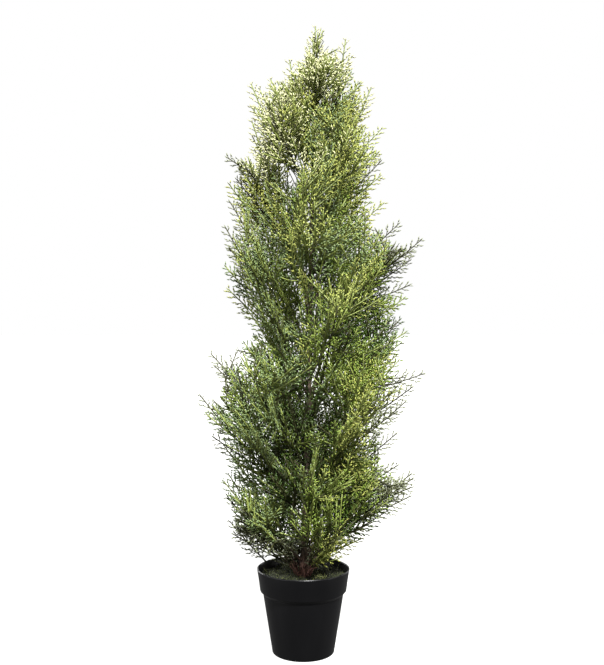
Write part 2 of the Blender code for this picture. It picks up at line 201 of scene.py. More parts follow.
# The long shoots that stick out of the crown: across, depth and height of the tip, and rise in degrees.
LEADING_SHOOTS = (
    (0.024, 0.000, 1.1985, 87), (0.081, -0.010, 1.170, 82), (0.094, 0.015, 1.142, 50),
    (-0.026, -0.015, 1.128, 98), (-0.066, 0.010, 1.098, 118), (-0.100, -0.010, 1.083, 112),
    (-0.101, 0.015, 1.046, 122), (0.131, -0.005, 1.080, 66), (0.151, -0.010, 1.002, 48),
    (0.146, 0.020, 0.958, 50), (-0.146, -0.010, 0.936, 152), (-0.146, 0.015, 0.896, 128),
    (-0.141, -0.015, 0.858, 122), (-0.149, 0.000, 0.812, 118), (0.186, 0.010, 0.820, 42),
    (0.225, -0.015, 0.781, 36), (-0.154, 0.000, 0.735, 135), (0.208, 0.010, 0.694, 16),
    (0.194, -0.010, 0.668, 30), (-0.112, -0.020, 0.662, 125), (-0.177, 0.000, 0.571, 132),
    (-0.170, -0.020, 0.546, 138), (0.232, -0.005, 0.526, 14), (0.212, 0.015, 0.502, 34),
    (-0.199, 0.000, 0.489, 130), (-0.185, -0.020, 0.456, 140), (0.196, -0.015, 0.476, 38),
    (-0.152, 0.000, 0.392, 128), (-0.152, -0.010, 0.330, 128), (0.213, 0.000, 0.322, 30),
    (0.205, -0.020, 0.296, 22), (0.162, -0.010, 0.262, 24), (-0.134, 0.000, 0.262, 140),
    (-0.136, -0.010, 0.224, 152), (0.092, 0.010, 1.112, 66), (-0.100, 0.000, 0.985, 118),
    (0.153, 0.000, 0.936, 42), (0.148, -0.015, 0.905, 36), (0.155, 0.000, 0.855, 38),
    (-0.132, 0.010, 0.906, 130), (0.207, 0.005, 0.745, 32), (0.188, 0.000, 0.630, 36),
    (0.198, -0.015, 0.610, 30), (-0.148, 0.010, 0.690, 140), (-0.114, 0.000, 0.590, 124),
    (0.188, 0.000, 0.586, 36), (0.184, 0.015, 0.558, 34), (0.184, 0.010, 0.454, 30),
    (0.180, 0.000, 0.414, 38), (0.184, 0.010, 0.352, 30), (-0.176, 0.000, 0.410, 148),
    (-0.146, 0.010, 0.338, 124), (-0.148, 0.000, 0.298, 130), (-0.146, 0.010, 0.242, 136),
    (0.114, -0.010, 0.216, 22), (0.106, 0.010, 1.094, 72), (-0.086, 0.000, 1.078, 116),
    (-0.099, -0.010, 1.014, 108), (0.210, 0.012, 0.334, 34), (0.208, -0.005, 0.308, 16),
    (0.212, 0.012, 0.762, 26),
)
# The same for those that stick out at the back.
BACK_SHOOTS = (
    (0.004, 0.212, 0.322, 46), (-0.064, 0.192, 0.372, 56), (0.074, 0.188, 0.352, 52),
    (0.052, 0.184, 0.470, 60), (-0.048, 0.182, 0.560, 62), (-0.092, 0.186, 0.690, 54),
    (0.094, 0.200, 0.722, 50), (0.022, 0.211, 0.744, 58), (-0.050, 0.203, 0.786, 56),
    (0.030, 0.166, 0.902, 62), (-0.036, 0.146, 1.010, 66),
)
SHOOT_LENGTH = 0.105
SHOOT_DROP = 0.13
SHOOT_LOWEST = 0.185
SHOOT_START = 0.3
SHOOT_INSET = 0.004
SHOOT_SWAY = 0.1
SHOOT_ROLL = 0.6
SHOOT_SEED = CROWN_SEED * 2000

# Slim openings in which the sky shows through the crown: across, height, half width and half height.
SKY_GAPS = (
    (-0.019, 0.900, 0.008, 0.014),
    (0.042, 0.577, 0.003, 0.005),
)

# The stems that fan out from the trunk's foot.
FOOT_STEMS = 36
FOOT_STEM_RADII = (0.0014, 0.0007)
SIDE_REACHES = (0.026, 0.046)
SIDE_RISES = (0.038, 0.066)
FRONT_REACHES = (0.010, 0.026)
FRONT_RISES = (0.020, 0.038)
FRONT_SINE = -0.6
FOOT_ROOT_HEIGHT = SOIL_HEIGHT + 0.001
FOOT_ROOT_PLACES = (0.006, 0.015)
FOOT_BEND_PLACE = 0.45
FOOT_BEND_RISE = 0.010
FOOT_BEND_PULL = 0.004
FOOT_POINTS = 10
FOOT_TURN_JITTER = 0.2
FOOT_SWAY = 0.006
FOOT_ROLL = 0.8
FOOT_END_LENGTHS = (0.060, 0.085)
FOOT_SIDE_LENGTHS = (0.042, 0.062)
FOOT_SIDE_SPRAYS = ((3, 1), (5, -1), (7, 1))
FOOT_SEED = 71

# The bark's mesh.
TRUNK_SUNK = 0.004
TRUNK_STEP = 0.003
BOUGH_POINTS = 9
LIMB_SLIMNESS = 0.85
RIDGE_STRETCH = 5

UP = np.array((0.0, 0.0, 1.0))
ACROSS = np.array((1.0, 0.0, 0.0))
BACKWARD = np.array((0.0, 1.0, 0.0))


def linear(hex_colour):
    """A colour in sRGB hex as linear RGBA."""
    shares = [int(hex_colour[start : start + 2], 16) / 255 for start in (1, 3, 5)]
    turned = [c / 12.92 if c <= 0.04045 else ((c + 0.055) / 1.055) ** 2.4 for c in shares]
    return (*turned, 1.0)


def mix(first, second, share):
    return first + (second - first) * share


def unit(vector):
    return vector / np.linalg.norm(vector)


def units(vectors):
    return vectors / np.linalg.norm(vectors, axis=-1, keepdims=True)


def swung(first, second, angle):
    """The first direction, turned by the angle towards the second."""
    return math.cos(angle) * first + math.sin(angle) * second


def level_pair(azimuth):
    """The level directions outward and across at this azimuth."""
    outward = np.array((math.cos(azimuth), math.sin(azimuth), 0.0))
    return outward, np.array((-math.sin(azimuth), math.cos(azimuth), 0.0))


def arched(root, middle, end, count):
    """Points of an arch from root to end that bends towards middle."""
    along = np.linspace(0, 1, count)[:, None]
    return (1 - along) ** 2 * root + 2 * along * (1 - along) * middle + along**2 * end


def directions(angles, pitches):
    """A direction for each angle round Z and pitch above the level."""
    return np.stack([np.cos(angles) * np.cos(pitches), np.sin(angles) * np.cos(pitches), np.sin(pitches)], 1)


# Settings.


def colour_setting(name, description, hex_colour):
    return bpy.props.FloatVectorProperty(
        name=name, description=description, default=linear(hex_colour), size=4, min=0, max=1, subtype="COLOR"
    )


def number_setting(name, description, default, **kind):
    return bpy.props.FloatProperty(name=name, description=description, default=default, min=0, **kind)


def length_setting(name, description, default):
    return number_setting(name, description, default, unit="LENGTH", precision=5)


class CypressPotSettings(bpy.types.PropertyGroup):
    height: length_setting("Height", "From the floor to the lip", POT_HIGH.z)
    rim_radius: length_setting("Rim radius", "Outside radius at the lip", POT_HIGH.x)
    colour: colour_setting("Colour", "Black plastic", "#040405")


class CypressMossSettings(bpy.types.PropertyGroup):
    fibre_length: length_setting("Fibre length", "Length of the longest moss fibres", 0.014)
    fibres: bpy.props.IntProperty(name="Fibres", description="Number of moss fibres", default=7000, min=0)
    bed_colour: colour_setting("Bed", "The glued bed under the fibres", "#1c1c12")
    dark_colour: colour_setting("Dark moss", "Most of the fibres", "#1f2312")
    olive_colour: colour_setting("Olive moss", "Drier fibres", "#3a3f1f")
    fresh_colour: colour_setting("Fresh moss", "The few yellow-green tufts", "#868c50")


class CypressBarkSettings(bpy.types.PropertyGroup):
    relief: length_setting("Relief", "Height of the bark's ridges on the trunk", 0.0007)
    ridge_width: length_setting("Ridge width", "Spacing of the ridges round the trunk", 0.003)
    foot_colour: colour_setting("Foot", "Reddish bark at the foot", "#6d4b3f")
    limb_colour: colour_setting("Limbs", "Dark bark higher up", "#514436")


class CypressCrownSettings(bpy.types.PropertyGroup):
    leaf_length: length_setting("Leaf length", "Length of a full leaf", 0.0093)
    leaf_width: length_setting("Leaf width", "Width of a full leaf", 0.0030)
    leaf_thickness: length_setting("Leaf thickness", "Thickness of a full leaf", 0.0012)
    leaf_spacing: length_setting("Leaf spacing", "Between leaves on a twiglet", 0.0045)
    twiglet_spacing: length_setting("Twiglet spacing", "Between twiglets on a rachis", 0.0071)
    # Deep green is painted shade: it goes to the darkest sprays, inside the crown and low down.
    deep_colour: colour_setting("Deep green", "Shaded and older leaves", "#2f430a")
    mid_colour: colour_setting("Mid green", "Most of the leaves", "#66782b")
    cool_colour: colour_setting("Cool green", "Greyer, bluer leaves", "#697a4e")
    olive_colour: colour_setting("Olive", "Duller leaves", "#8f9348")
    # Fresh green is the yellow-green of young growth in its patches, and elsewhere painted light on the
    # brightest sprays.
    fresh_colour: colour_setting("Fresh green", "Young yellow-green leaves", "#949b50")
    # Pale green is painted light: it goes to the brightest sprays on the upper crown and at its edges.
    pale_colour: colour_setting("Pale green", "Leaves near the top", "#b6b68b")
    # Greyed green at the crown's edges is a painted reflection of the white surround; low at the foot it is a
    # plain greyer green.
    dusty_colour: colour_setting("Greyed green", "Leaves at the edges", "#757a60")
    wire_colour: colour_setting("Wired twigs", "Dark wrapped twigs", "#383a20")
    rachis_colour: colour_setting("Green twigs", "Moulded green twigs", "#6d773b")


class CypressStageSettings(bpy.types.PropertyGroup):
    floor_colour: colour_setting("Floor", "Plain pale floor", "#f4f4f2")
    floor_glow: number_setting("Floor glow", "Light of the lit floor itself", 1.15)
    surround: number_setting("Surround", "Strength of the soft light all round", 0.19)
    key_strength: number_setting("Key light", "Strength of the key light", 12.6)
    box_power: number_setting("Soft boxes", "Power of the brightest soft box", 24, unit="POWER")


# Materials.


def new_material(name):
    material = bpy.data.materials.new(name)
    material.use_nodes = True
    return material, material.node_tree.nodes["Principled BSDF"]


def add_node(owner, kind, inputs=None, **settings):
    """Adds a node to a material or world. Each input is a value, or the socket that feeds it."""
    tree = owner.node_tree
    node = tree.nodes.new(kind)
    for name, value in settings.items():
        setattr(node, name, value)
    for name, value in (inputs or {}).items():
        if isinstance(value, bpy.types.NodeSocket):
            tree.links.new(value, node.inputs[name])
        else:
            node.inputs[name].default_value = value
    return node


def feed(owner, socket, source):
    owner.node_tree.links.new(source, socket)


def patterned_material(name, ior, specular=0.5):
    """A material, its shader, and the place on the object that its patterns go by."""
    material, shader = new_material(name)
    shader.inputs["IOR"].default_value = ior
    shader.inputs["Specular IOR Level"].default_value = specular
    return material, shader, add_node(material, "ShaderNodeTexCoord").outputs["Object"]


def tinted(material, pattern, colour, shares, places=(0.3, 0.7)):
    """The colour, darkened and lightened by the shares where the pattern is at its places."""
    tone = add_node(material, "ShaderNodeValToRGB", {"Fac": pattern})
    for stop, place, share in zip(tone.color_ramp.elements, places, shares):
        stop.position = place
        stop.color = (*[c * share for c in colour[:3]], 1)
    return tone.outputs["Color"]


def finished(material, shader, colour, pattern, roughness, relief=None):
    """Feeds the shader its colour, its roughness by the pattern, and the relief: pattern, strength, depth."""
    feed(material, shader.inputs["Base Color"], colour)
    low, high = roughness
    rough = add_node(material, "ShaderNodeMapRange", {"Value": pattern, "To Min": low, "To Max": high})
    feed(material, shader.inputs["Roughness"], rough.outputs[0])
    if relief:
        bump = add_node(material, "ShaderNodeBump", dict(zip(("Height", "Strength", "Distance"), relief)))
        feed(material, shader.inputs["Normal"], bump.outputs[0])
    return material


def moulded_pot_plastic(colour):
    """Injection-moulded polypropylene: satin black, with the faint grain and flow marks of its mould."""
    material, shader, place = patterned_material("black_polypropylene", 1.49, 0.35)
    grain = add_node(material, "ShaderNodeTexNoise", {"Vector": place, "Scale": 1 / 0.0011, "Detail": 3})
    flow = add_node(material, "ShaderNodeMapping", {"Vector": place, "Scale": (30, 30, 9)})
    marks = add_node(material, "ShaderNodeTexNoise", {"Vector": flow.outputs[0], "Scale": 1, "Detail": 4})
    marks = marks.outputs["Fac"]
    tone = tinted(material, marks, colour, (0.82, 1.22), (0, 1))
    return finished(material, shader, tone, marks, (0.28, 0.40), (grain.outputs["Fac"], 0.35, 0.00012))


def preserved_moss(name, colour):
    """Dyed dried moss: dead matt, and uneven in tone from one clump to the next."""
    material, shader, place = patterned_material(name, 1.45)
    clumps = add_node(material, "ShaderNodeTexNoise", {"Vector": place, "Scale": 1 / 0.006, "Detail": 4})
    clumps = clumps.outputs["Fac"]
    return finished(material, shader, tinted(material, clumps, colour, (0.55, 1.35)), clumps, (0.85, 1.0))


# The bark turns from the colour of the foot to that of the limbs between these heights.
FOOT_COLOUR_HEIGHTS = (0.158, 0.190)


def wrapped_bark(foot_colour, limb_colour):
    """Moulded bark round wire: matt, reddish at the foot and dark brown higher up, darker in its furrows."""
    material, shader, place = patterned_material("moulded_bark", 1.48)
    height = add_node(material, "ShaderNodeSeparateXYZ", {"Vector": place}).outputs["Z"]
    low, high = FOOT_COLOUR_HEIGHTS
    rise = add_node(material, "ShaderNodeMapRange", {"Value": height, "From Min": low, "From Max": high})
    along = add_node(material, "ShaderNodeMapping", {"Vector": place, "Scale": (600, 600, 160)})
    fibres = add_node(material, "ShaderNodeTexNoise", {"Vector": along.outputs[0], "Scale": 1, "Detail": 5})
    fibres = fibres.outputs["Fac"]
    shade = tinted(material, fibres, (1, 1, 1), (0.30, 1.35), (0.32, 0.72))
    inputs = {0: rise.outputs[0], 6: foot_colour, 7: limb_colour}
    blend = add_node(material, "ShaderNodeMix", inputs, data_type="RGBA")
    inputs = {0: 1.0, 6: blend.outputs[2], 7: shade}
    shaded = add_node(material, "ShaderNodeMix", inputs, data_type="RGBA", blend_type="MULTIPLY")
    return finished(material, shader, shaded.outputs[2], fibres, (0.70, 0.95), (fibres, 0.6, 0.0004))


def moulded_leaf_plastic(name, colour):
    """Moulded polyethylene: coloured in the mass, with the soft sheen and fine mottling of the moulding."""
    material, shader, place = patterned_material(name, 1.51, 0.25)
    mottle = add_node(material, "ShaderNodeTexNoise", {"Vector": place, "Scale": 1 / 0.004, "Detail": 2})
    mottle = mottle.outputs["Fac"]
    return finished(material, shader, tinted(material, mottle, colour, (0.82, 1.18)), mottle, (0.36, 0.52))


# Meshes.


def placed_object(name, data, place=(0, 0, 0), aim=None):
    """An object in the scene. A light's -Z points along its aim."""
    item = bpy.data.objects.new(name, data)
    item.location = place
    if aim:
        item.rotation_euler = Vector(aim).to_track_quat("-Z", "Y").to_euler()
    bpy.context.scene.collection.objects.link(item)
    return item


def piece_from(mesh, material, nodes):
    """The finished piece: it rides on the body, hides the nodes' solids in its place and takes the material.
    """
    mesh.materials.append(material)
    piece = placed_object(mesh.name, mesh)
    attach(piece, BODY)
    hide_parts(*nodes)
    return piece


def mesh_from(name, bm, sharp_angle=180):
    mesh = bpy.data.meshes.new(name)
    bmesh.ops.recalc_face_normals(bm, faces=bm.faces)
    bm.to_mesh(mesh)
    bm.free()
    mesh.shade_smooth()
    mesh.set_sharp_from_angle(angle=math.radians(sharp_angle))
    return mesh


def mesh_of_copies(name, groups):
    """One mesh of many small closed shapes. Each group is (points of every copy, triangles of one copy)."""
    all_points, all_triangles, first = [], [], 0
    for points, triangles in groups:
        copies, corners = points.shape[:2]
        starts = first + corners * np.arange(copies)
        all_points.append(points.reshape(-1, 3))
        all_triangles.append((starts[:, None, None] + np.asarray(triangles)[None]).reshape(-1, 3))
        first += copies * corners
    points = np.concatenate(all_points).astype(np.float32)
    triangles = np.concatenate(all_triangles).astype(np.int32)
    mesh = bpy.data.meshes.new(name)
    mesh.vertices.add(len(points))
    mesh.vertices.foreach_set("co", points.ravel())
    mesh.loops.add(triangles.size)
    mesh.loops.foreach_set("vertex_index", triangles.ravel())
    mesh.polygons.add(len(triangles))
    mesh.polygons.foreach_set("loop_start", np.arange(0, triangles.size, 3, dtype=np.int32))
    mesh.update(calc_edges=True)
    mesh.validate()
    return mesh


LEAF_TRIANGLES = ((0, 2, 3), (0, 3, 1), (0, 1, 2), (3, 2, 1))
SPIKE_TRIANGLES = ((0, 1, 3), (1, 2, 3), (2, 0, 3), (0, 2, 1))


def leaf_points(leaves, width_share, thickness_share):
    """Base, left, right and tip of each keeled leaf, from its base, axis (as long as it is) and normal."""
    base, axis, normal = leaves[:, 0], leaves[:, 1], leaves[:, 2]
    length = np.linalg.norm(axis, axis=1, keepdims=True)
    across = units(np.cross(normal, axis))
    above = units(np.cross(axis, across))
    middle = base + axis * LEAF_WIDEST - above * length * thickness_share
    wing = across * length * width_share / 2
    return np.stack([base, middle + wing, middle - wing, base + axis], axis=1)


def spike_points(bases, tips, radii):
    """Three corners round each base, and the tip."""
    forward = units(tips - bases)
    side = units(np.cross(forward, NEARLY_UP)) * radii[:, None]
    other = np.cross(forward, side)
    turns = [2 * math.pi * number / 3 for number in range(3)]
    corners = [bases + side * math.cos(turn) + other * math.sin(turn) for turn in turns]
    return np.stack([*corners, tips], axis=1)


def tube_points(paths, radii, sides):
    """Rings of corners round every point of every path."""
    forward = units(np.gradient(paths, axis=1))
    side = units(np.cross(forward, NEARLY_UP))
    other = np.cross(forward, side)
    turns = 2 * np.pi * np.arange(sides) / sides
    offsets = side[:, :, None] * np.cos(turns)[:, None] + other[:, :, None] * np.sin(turns)[:, None]
    rings = paths[:, :, None] + offsets * radii[:, :, None, None]
    return rings.reshape(len(paths), -1, 3)


def tube_triangles(rings, sides):
    triangles = []
    for first in range(0, (rings - 1) * sides, sides):
        for number in range(sides):
            low, next_low = first + number, first + (number + 1) % sides
            high, next_high = low + sides, next_low + sides
            triangles += [(low, next_low, next_high), (low, next_high, high)]
    last = (rings - 1) * sides
    for number in range(1, sides - 1):
        triangles += [(0, number + 1, number), (last, last + number, last + number + 1)]
    return triangles


def tubes(paths, radii, sides):
    """Closed tubes that taper between the radii, along paths with the same number of points."""
    paths = np.asarray(paths)
    copies, count = paths.shape[:2]
    points = tube_points(paths, np.tile(np.linspace(*radii, count), (copies, 1)), sides)
    return points, tube_triangles(count, sides)


# The crown's rule.


def trunk_centre(height):
    rise = (height - SOIL_HEIGHT) / (TREE_HEIGHT - SOIL_HEIGHT)
    return np.array((TRUNK_LEAN * rise * (2 - rise), TRUNK_BOW * math.sin(math.pi * rise), height))


def trunk_radius(height):
    rise = (height - SOIL_HEIGHT) / (TRUNK_TOP - SOIL_HEIGHT)
    flare = max(0.0, 1 - (height - SOIL_HEIGHT) / TRUNK_FLARE_HEIGHT)
    taper = mix(TRUNK_FOOT_RADIUS, TRUNK_TOP_RADIUS, min(rise, 1.0))
    return taper + (TRUNK_FLARE_RADIUS - TRUNK_FOOT_RADIUS) * flare**2


def crown_reach(height, azimuth):
    heights, reaches = zip(*CROWN_OUTLINE)
    bulge = 2 * math.pi * (height - SWIRL_HEIGHT) / SWIRL_PITCH
    return float(np.interp(height, heights, reaches)) * (1 + SWIRL_SHARE * math.cos(azimuth - bulge))


def bough_spine(index):
    """Points from the bough's root at the trunk to the tip of its foliage."""
    rng = random.Random(CROWN_SEED * 100 + index)
    share_up = index / (BOUGHS - 1)
    root_height = mix(*ROOT_HEIGHTS, share_up**ROOT_CROWDING)
    azimuth = CROWN_TURN + index * GOLDEN_ANGLE + rng.uniform(-TURN_JITTER, TURN_JITTER)
    rise = mix(*RISES, share_up**RISE_CROWDING)
    rise += rng.uniform(-RISE_JITTER, RISE_JITTER)
    reach_share = rng.uniform(*REACH_SHARES)
    arch = rng.uniform(*ARCH_SHARES)
    sway = rng.uniform(*SWAY_SHARES)
    outward, across = level_pair(azimuth)
    tip_height = root_height
    for _ in range(TIP_HEIGHT_PASSES):
        reach = reach_share * crown_reach(tip_height, azimuth)
        tip_height = min(root_height + reach * math.tan(rise), TIP_HIGHEST)
    root = trunk_centre(root_height) + outward * (trunk_radius(root_height) + CLEARANCE)
    tip = trunk_centre(tip_height) + outward * reach
    span = np.linalg.norm(tip - root)
    middle = (root + tip) / 2 + UP * arch * span + across * sway * span
    return arched(root, middle, tip, SPINE_SAMPLES)


def leader_spine():
    heights = np.linspace(TRUNK_TOP, TREE_HEIGHT - TIP_SPRAY_REACH, SPINE_SAMPLES)
    return np.array([trunk_centre(height) for height in heights])


def spine_at(spine, share):
    """The point at this share of the spine, and its direction there."""
    place = share * (SPINE_SAMPLES - 1)
    step = min(int(place), SPINE_SAMPLES - 2)
    return mix(spine[step], spine[step + 1], place - step), unit(spine[step + 1] - spine[step])


def across_of(direction):
    """A unit vector square to the direction, the same each time and nearly level."""
    return unit(np.cross(direction, NEARLY_UP))


def in_open_foot(point, distance):
    """True beside the trunk's foot or in front of it, where no twigs grow."""
    in_front = abs(point[0]) < OPEN_FOOT_RADIUS and point[1] < 0
    return point[2] < OPEN_FOOT_HEIGHT and (distance < OPEN_FOOT_RADIUS or in_front)


def in_crown(point, is_leader):
    """False beyond the crown's outline, against the trunk, over the pot and in the open foot."""
    centre = trunk_centre(min(point[2], TREE_HEIGHT))
    offset = point - centre
    distance = math.hypot(offset[0], offset[1])
    if point[2] < TRUNK_TOP + TIP_SPRAY_REACH and distance < trunk_radius(point[2]) + TRUNK_MARGIN:
        return False
    azimuth = math.atan2(offset[1], offset[0])
    if not is_leader and distance > CROWN_SLACK * crown_reach(point[2], azimuth):
        return False
    return CROWN_FOOT < point[2] < TREE_HEIGHT and not in_open_foot(point, distance)


def in_space(spines, index, points, margin):
    """True where every point is nearer to this mass's spine than to any other, by the margin."""
    points = np.asarray(points)
    gaps = np.sqrt(((points[:, None, None, :] - spines[None]) ** 2).sum(3)).min(2)
    own = gaps[:, index].copy()
    gaps[:, index] = np.inf
    if (own + margin > gaps.min(1)).any():
        return False
    return all(in_crown(point, index == BOUGHS) for point in points)


def spray_corners(root, direction, normal, length):
    """Points of a spray that have to stay in its mass's space."""
    wing = np.cross(normal, direction) * length * SPRAY_WIDTH_SHARE / 2
    middle = root + direction * length / 2
    return [root + direction * length, middle + wing, middle - wing, root + direction * length / 4]


def within_reach(point, inset):
    """True inside the crown as it is seen, clear of the pot and the trunk's foot."""
    x, y, z = point
    if not CROWN_FOOT < z < TREE_HEIGHT:
        return False
    heights, lefts, rights = zip(*CROWN_SIDES)
    left, right = np.interp(z, heights, lefts), np.interp(z, heights, rights)
    half_width = max(LEAST_REACH, (right + left) / 2 - inset)
    half_depth = max(LEAST_REACH, crown_reach(z, math.copysign(math.pi / 2, y)) - inset)
    if math.hypot((x - (right - left) / 2) / half_width, y / half_depth) > 1:
        return False
    return not in_open_foot(point, math.hypot(x, y))


def clear_of_gaps(spray):
    """True where no part of the spray stands in a sky gap, as the eye sees it."""
    root, heading, normal, length = spray
    along, aside = np.meshgrid(np.linspace(0, 1, 9), np.linspace(-1, 1, 5))
    wing = np.cross(normal, heading) * FROND_WIDTH_SHARE / 2
    points = root + length * (along[..., None] * heading + (aside * (1 - along))[..., None] * wing)
    nearness = EYE_DISTANCE / (EYE_DISTANCE + points[..., 1])
    seen_x = points[..., 0] * nearness
    seen_z = EYE_HEIGHT + (points[..., 2] - EYE_HEIGHT) * nearness
    return all(
        np.hypot((seen_x - gap_x) / gap_width, (seen_z - gap_z) / gap_height).min() > 1
        for gap_x, gap_z, gap_width, gap_height in SKY_GAPS
    )


def fitted_spray(root, heading, normal, full, inset=CROWN_INSET):
    """The spray as long as it fits the crown, or None."""
    for trim in FROND_TRIMS:
        if all(within_reach(point, inset) for point in spray_corners(root, heading, normal, full * trim)):
            return root, heading, normal, full * trim
    return None


def sprays_along(points, normal, full, inset=CROWN_INSET):
    """Fronds on both sides of a twig, given as its start and end, and one at its end."""
    start, end = points
    heading = unit(end - start)
    wanted = [(END_SPRAY_PLACE, 0)] + list(FROND_PLACES)
    fitted = []
    for place, turn in wanted:
        aside = swung(heading, np.cross(normal, heading), turn * SPRAY_SPREAD)
        fitted.append(fitted_spray(mix(start, end, place), aside, normal, full, inset))
    return [spray for spray in fitted if spray]


def trimmed_twig(origin, reach, fits):
    """The end of the longest twig that fits, or None."""
    for trim in TRIMS:
        points = [origin + reach * trim * share for share in TWIG_CHECKS]
        if fits(points):
            return points[-1]
    return None


def grow_mass(spines, index, layer):
    """One layer of a mass's twigs, each as (start, end, normal), and its sprays, each as (root, heading,
    normal, length). Layer 0 has the solids' own twigs."""
    spine = spines[index]
    seed = CROWN_SEED * 100 + index
    roll = random.Random(seed).uniform(0, 2 * math.pi) + layer * 2 * math.pi / LAYERS
    size = min(1.0, LEAST_SIZE + SIZE_PER_SPAN * np.linalg.norm(spine[-1] - spine[0]))

    def fits(points):
        if layer:
            return within_reach(points[-1], CROWN_INSET)
        return in_space(spines, index, points, TWIG_MARGIN)

    twigs, sprays = [], []
    for number in range(TWIGS):
        rng = random.Random(seed * 100 + number + layer * TWIGS)
        share = (number + FIRST_TWIG + layer / LAYERS) / TWIGS
        origin, forward = spine_at(spine, mix(stem_start(index), 1.0, share))
        around = roll + number * GOLDEN_ANGLE + rng.uniform(-TWIG_TURN_JITTER, TWIG_TURN_JITTER)
        spread = math.radians(rng.uniform(*TWIG_SPREADS))
        side = across_of(forward)
        outward = swung(side, np.cross(side, forward), around)
        heading = swung(forward, outward, spread)
        full = TWIG_LENGTH * size * mix(1.0, TWIG_LENGTH_AT_TIP, share) * rng.uniform(*TWIG_LENGTH_SHARES)
        tilt = rng.uniform(-TWIG_TILT, TWIG_TILT)
        flat = unit(np.cross(heading, forward))
        normal = swung(flat, np.cross(heading, flat), tilt)
        end = trimmed_twig(origin, heading * full, fits)
        if end is None:
            continue
        spray_length = FROND_STRETCH * SPRAY_LENGTH * size * mix(1.0, SPRAY_LENGTH_AT_TIP, share)
        fitted = sprays_along((origin, end), normal, spray_length)
        if fitted:
            twigs.append((origin, end, normal))
            sprays += fitted
    return twigs, sprays


def trunk_sprays():
    """Fronds that spring from the trunk itself and close the middle of the crown."""
    sprays = []
    for number in range(TRUNK_SPRAYS):
        rng = random.Random(TRUNK_SPRAY_SEED + number)
        height = mix(*TRUNK_SPRAY_HEIGHTS, (number + 0.5) / TRUNK_SPRAYS)
        azimuth = number * GOLDEN_ANGLE + rng.uniform(-TRUNK_SPRAY_JITTER, TRUNK_SPRAY_JITTER)
        rise = math.radians(rng.uniform(*TRUNK_SPRAY_RISES))
        outward, _ = level_pair(azimuth)
        heading = swung(outward, UP, rise)
        side = across_of(heading)
        normal = swung(side, np.cross(side, heading), rng.uniform(0, math.pi))
        root = trunk_centre(height) + outward * rng.uniform(*TRUNK_SPRAY_ROOTS)
        sprays.append(fitted_spray(root, heading, normal, rng.uniform(*TRUNK_SPRAY_LENGTHS)))
    return [spray for spray in sprays if spray]


def leading_shoots():
    """The twigs of the shoots that stick out, each as (start, end, normal), and their sprays."""
    twigs, sprays = [], []
    rows = [(shoot, ACROSS) for shoot in LEADING_SHOOTS] + [(shoot, BACKWARD) for shoot in BACK_SHOOTS]
    for number, ((*tip, rise), outward) in enumerate(rows):
        rng = random.Random(SHOOT_SEED + number)
        sideways = np.cross(UP, outward)
        sway = sideways * rng.uniform(-SHOOT_SWAY, SHOOT_SWAY)
        heading = unit(swung(outward, UP, math.radians(rise)) + sway)
        root = np.array(tip) - heading * SHOOT_LENGTH
        start = trunk_centre(min(max(root[2] - SHOOT_DROP, SHOOT_LOWEST), TRUNK_TOP))
        facing = unit(np.cross(heading, sideways))
        normal = swung(np.cross(facing, heading), facing, rng.uniform(-SHOOT_ROLL, SHOOT_ROLL))
        sprays.append((root, heading, normal, SHOOT_LENGTH))
        start = mix(start, root, SHOOT_START)
        twig_normal = unit(np.cross(root - start, np.cross(normal, root - start)))
        twigs.append((start, root + heading * SHOOT_INSET, twig_normal))
        sprays += sprays_along((start, root), twig_normal, FROND_STRETCH * SPRAY_LENGTH, SHOOT_INSET)
    return twigs, sprays


def stem_start(index):
    return 0.0 if index == BOUGHS else BARE_SHARE


def tip_spray(spine):
    """The spray that ends the mass, along the last of its stem."""
    root, forward = spine_at(spine, STEM_NECK)
    heading = unit(spine[-1] - root)
    return fitted_spray(root, heading, across_of(forward), SHOOT_LENGTH, inset=0)


@functools.cache
def crown_spines():
    return np.array([bough_spine(index) for index in range(BOUGHS)] + [leader_spine()])


def thinned(sprays):
    """The sprays that stay: fewer towards the top and towards the two sides, where the crown opens."""
    rng = random.Random(CROWN_SEED)
    kept = []
    for spray in sprays:
        x, y, z = spray[0]
        sideness = abs(x) / math.hypot(x, y, 0.001)
        dropped = np.interp(z, THINNING_HEIGHTS, THINNED_SHARES) * mix(EVEN_THINNING, 1.0, sideness)
        if rng.random() > dropped:
            kept.append(spray)
    return kept


@functools.cache
def crown_growth():
    """All twigs and sprays of the crown."""
    spines = crown_spines()
    twigs, sprays = leading_shoots()
    sprays += thinned(trunk_sprays())
    for index in range(BOUGHS + 1):
        sprays += [spray for spray in [tip_spray(spines[index])] if spray]
        for layer in range(LAYERS):
            more_twigs, more_sprays = grow_mass(spines, index, layer)
            twigs += more_twigs
            sprays += thinned(more_sprays)
    return twigs, [spray for spray in sprays if clear_of_gaps(spray)]


# Fronds.


def frond_reach(share):
    """Half the width of a frond, as a share of its length: full near its root, then a long taper."""
    opening = np.clip(share / FROND_WIDEST, 0, 1) ** FROND_OPENING
    return FROND_WIDTH_SHARE / 2 * opening * np.clip((1 - share) / (1 - FROND_WIDEST), 0, 1) ** FROND_TAPER


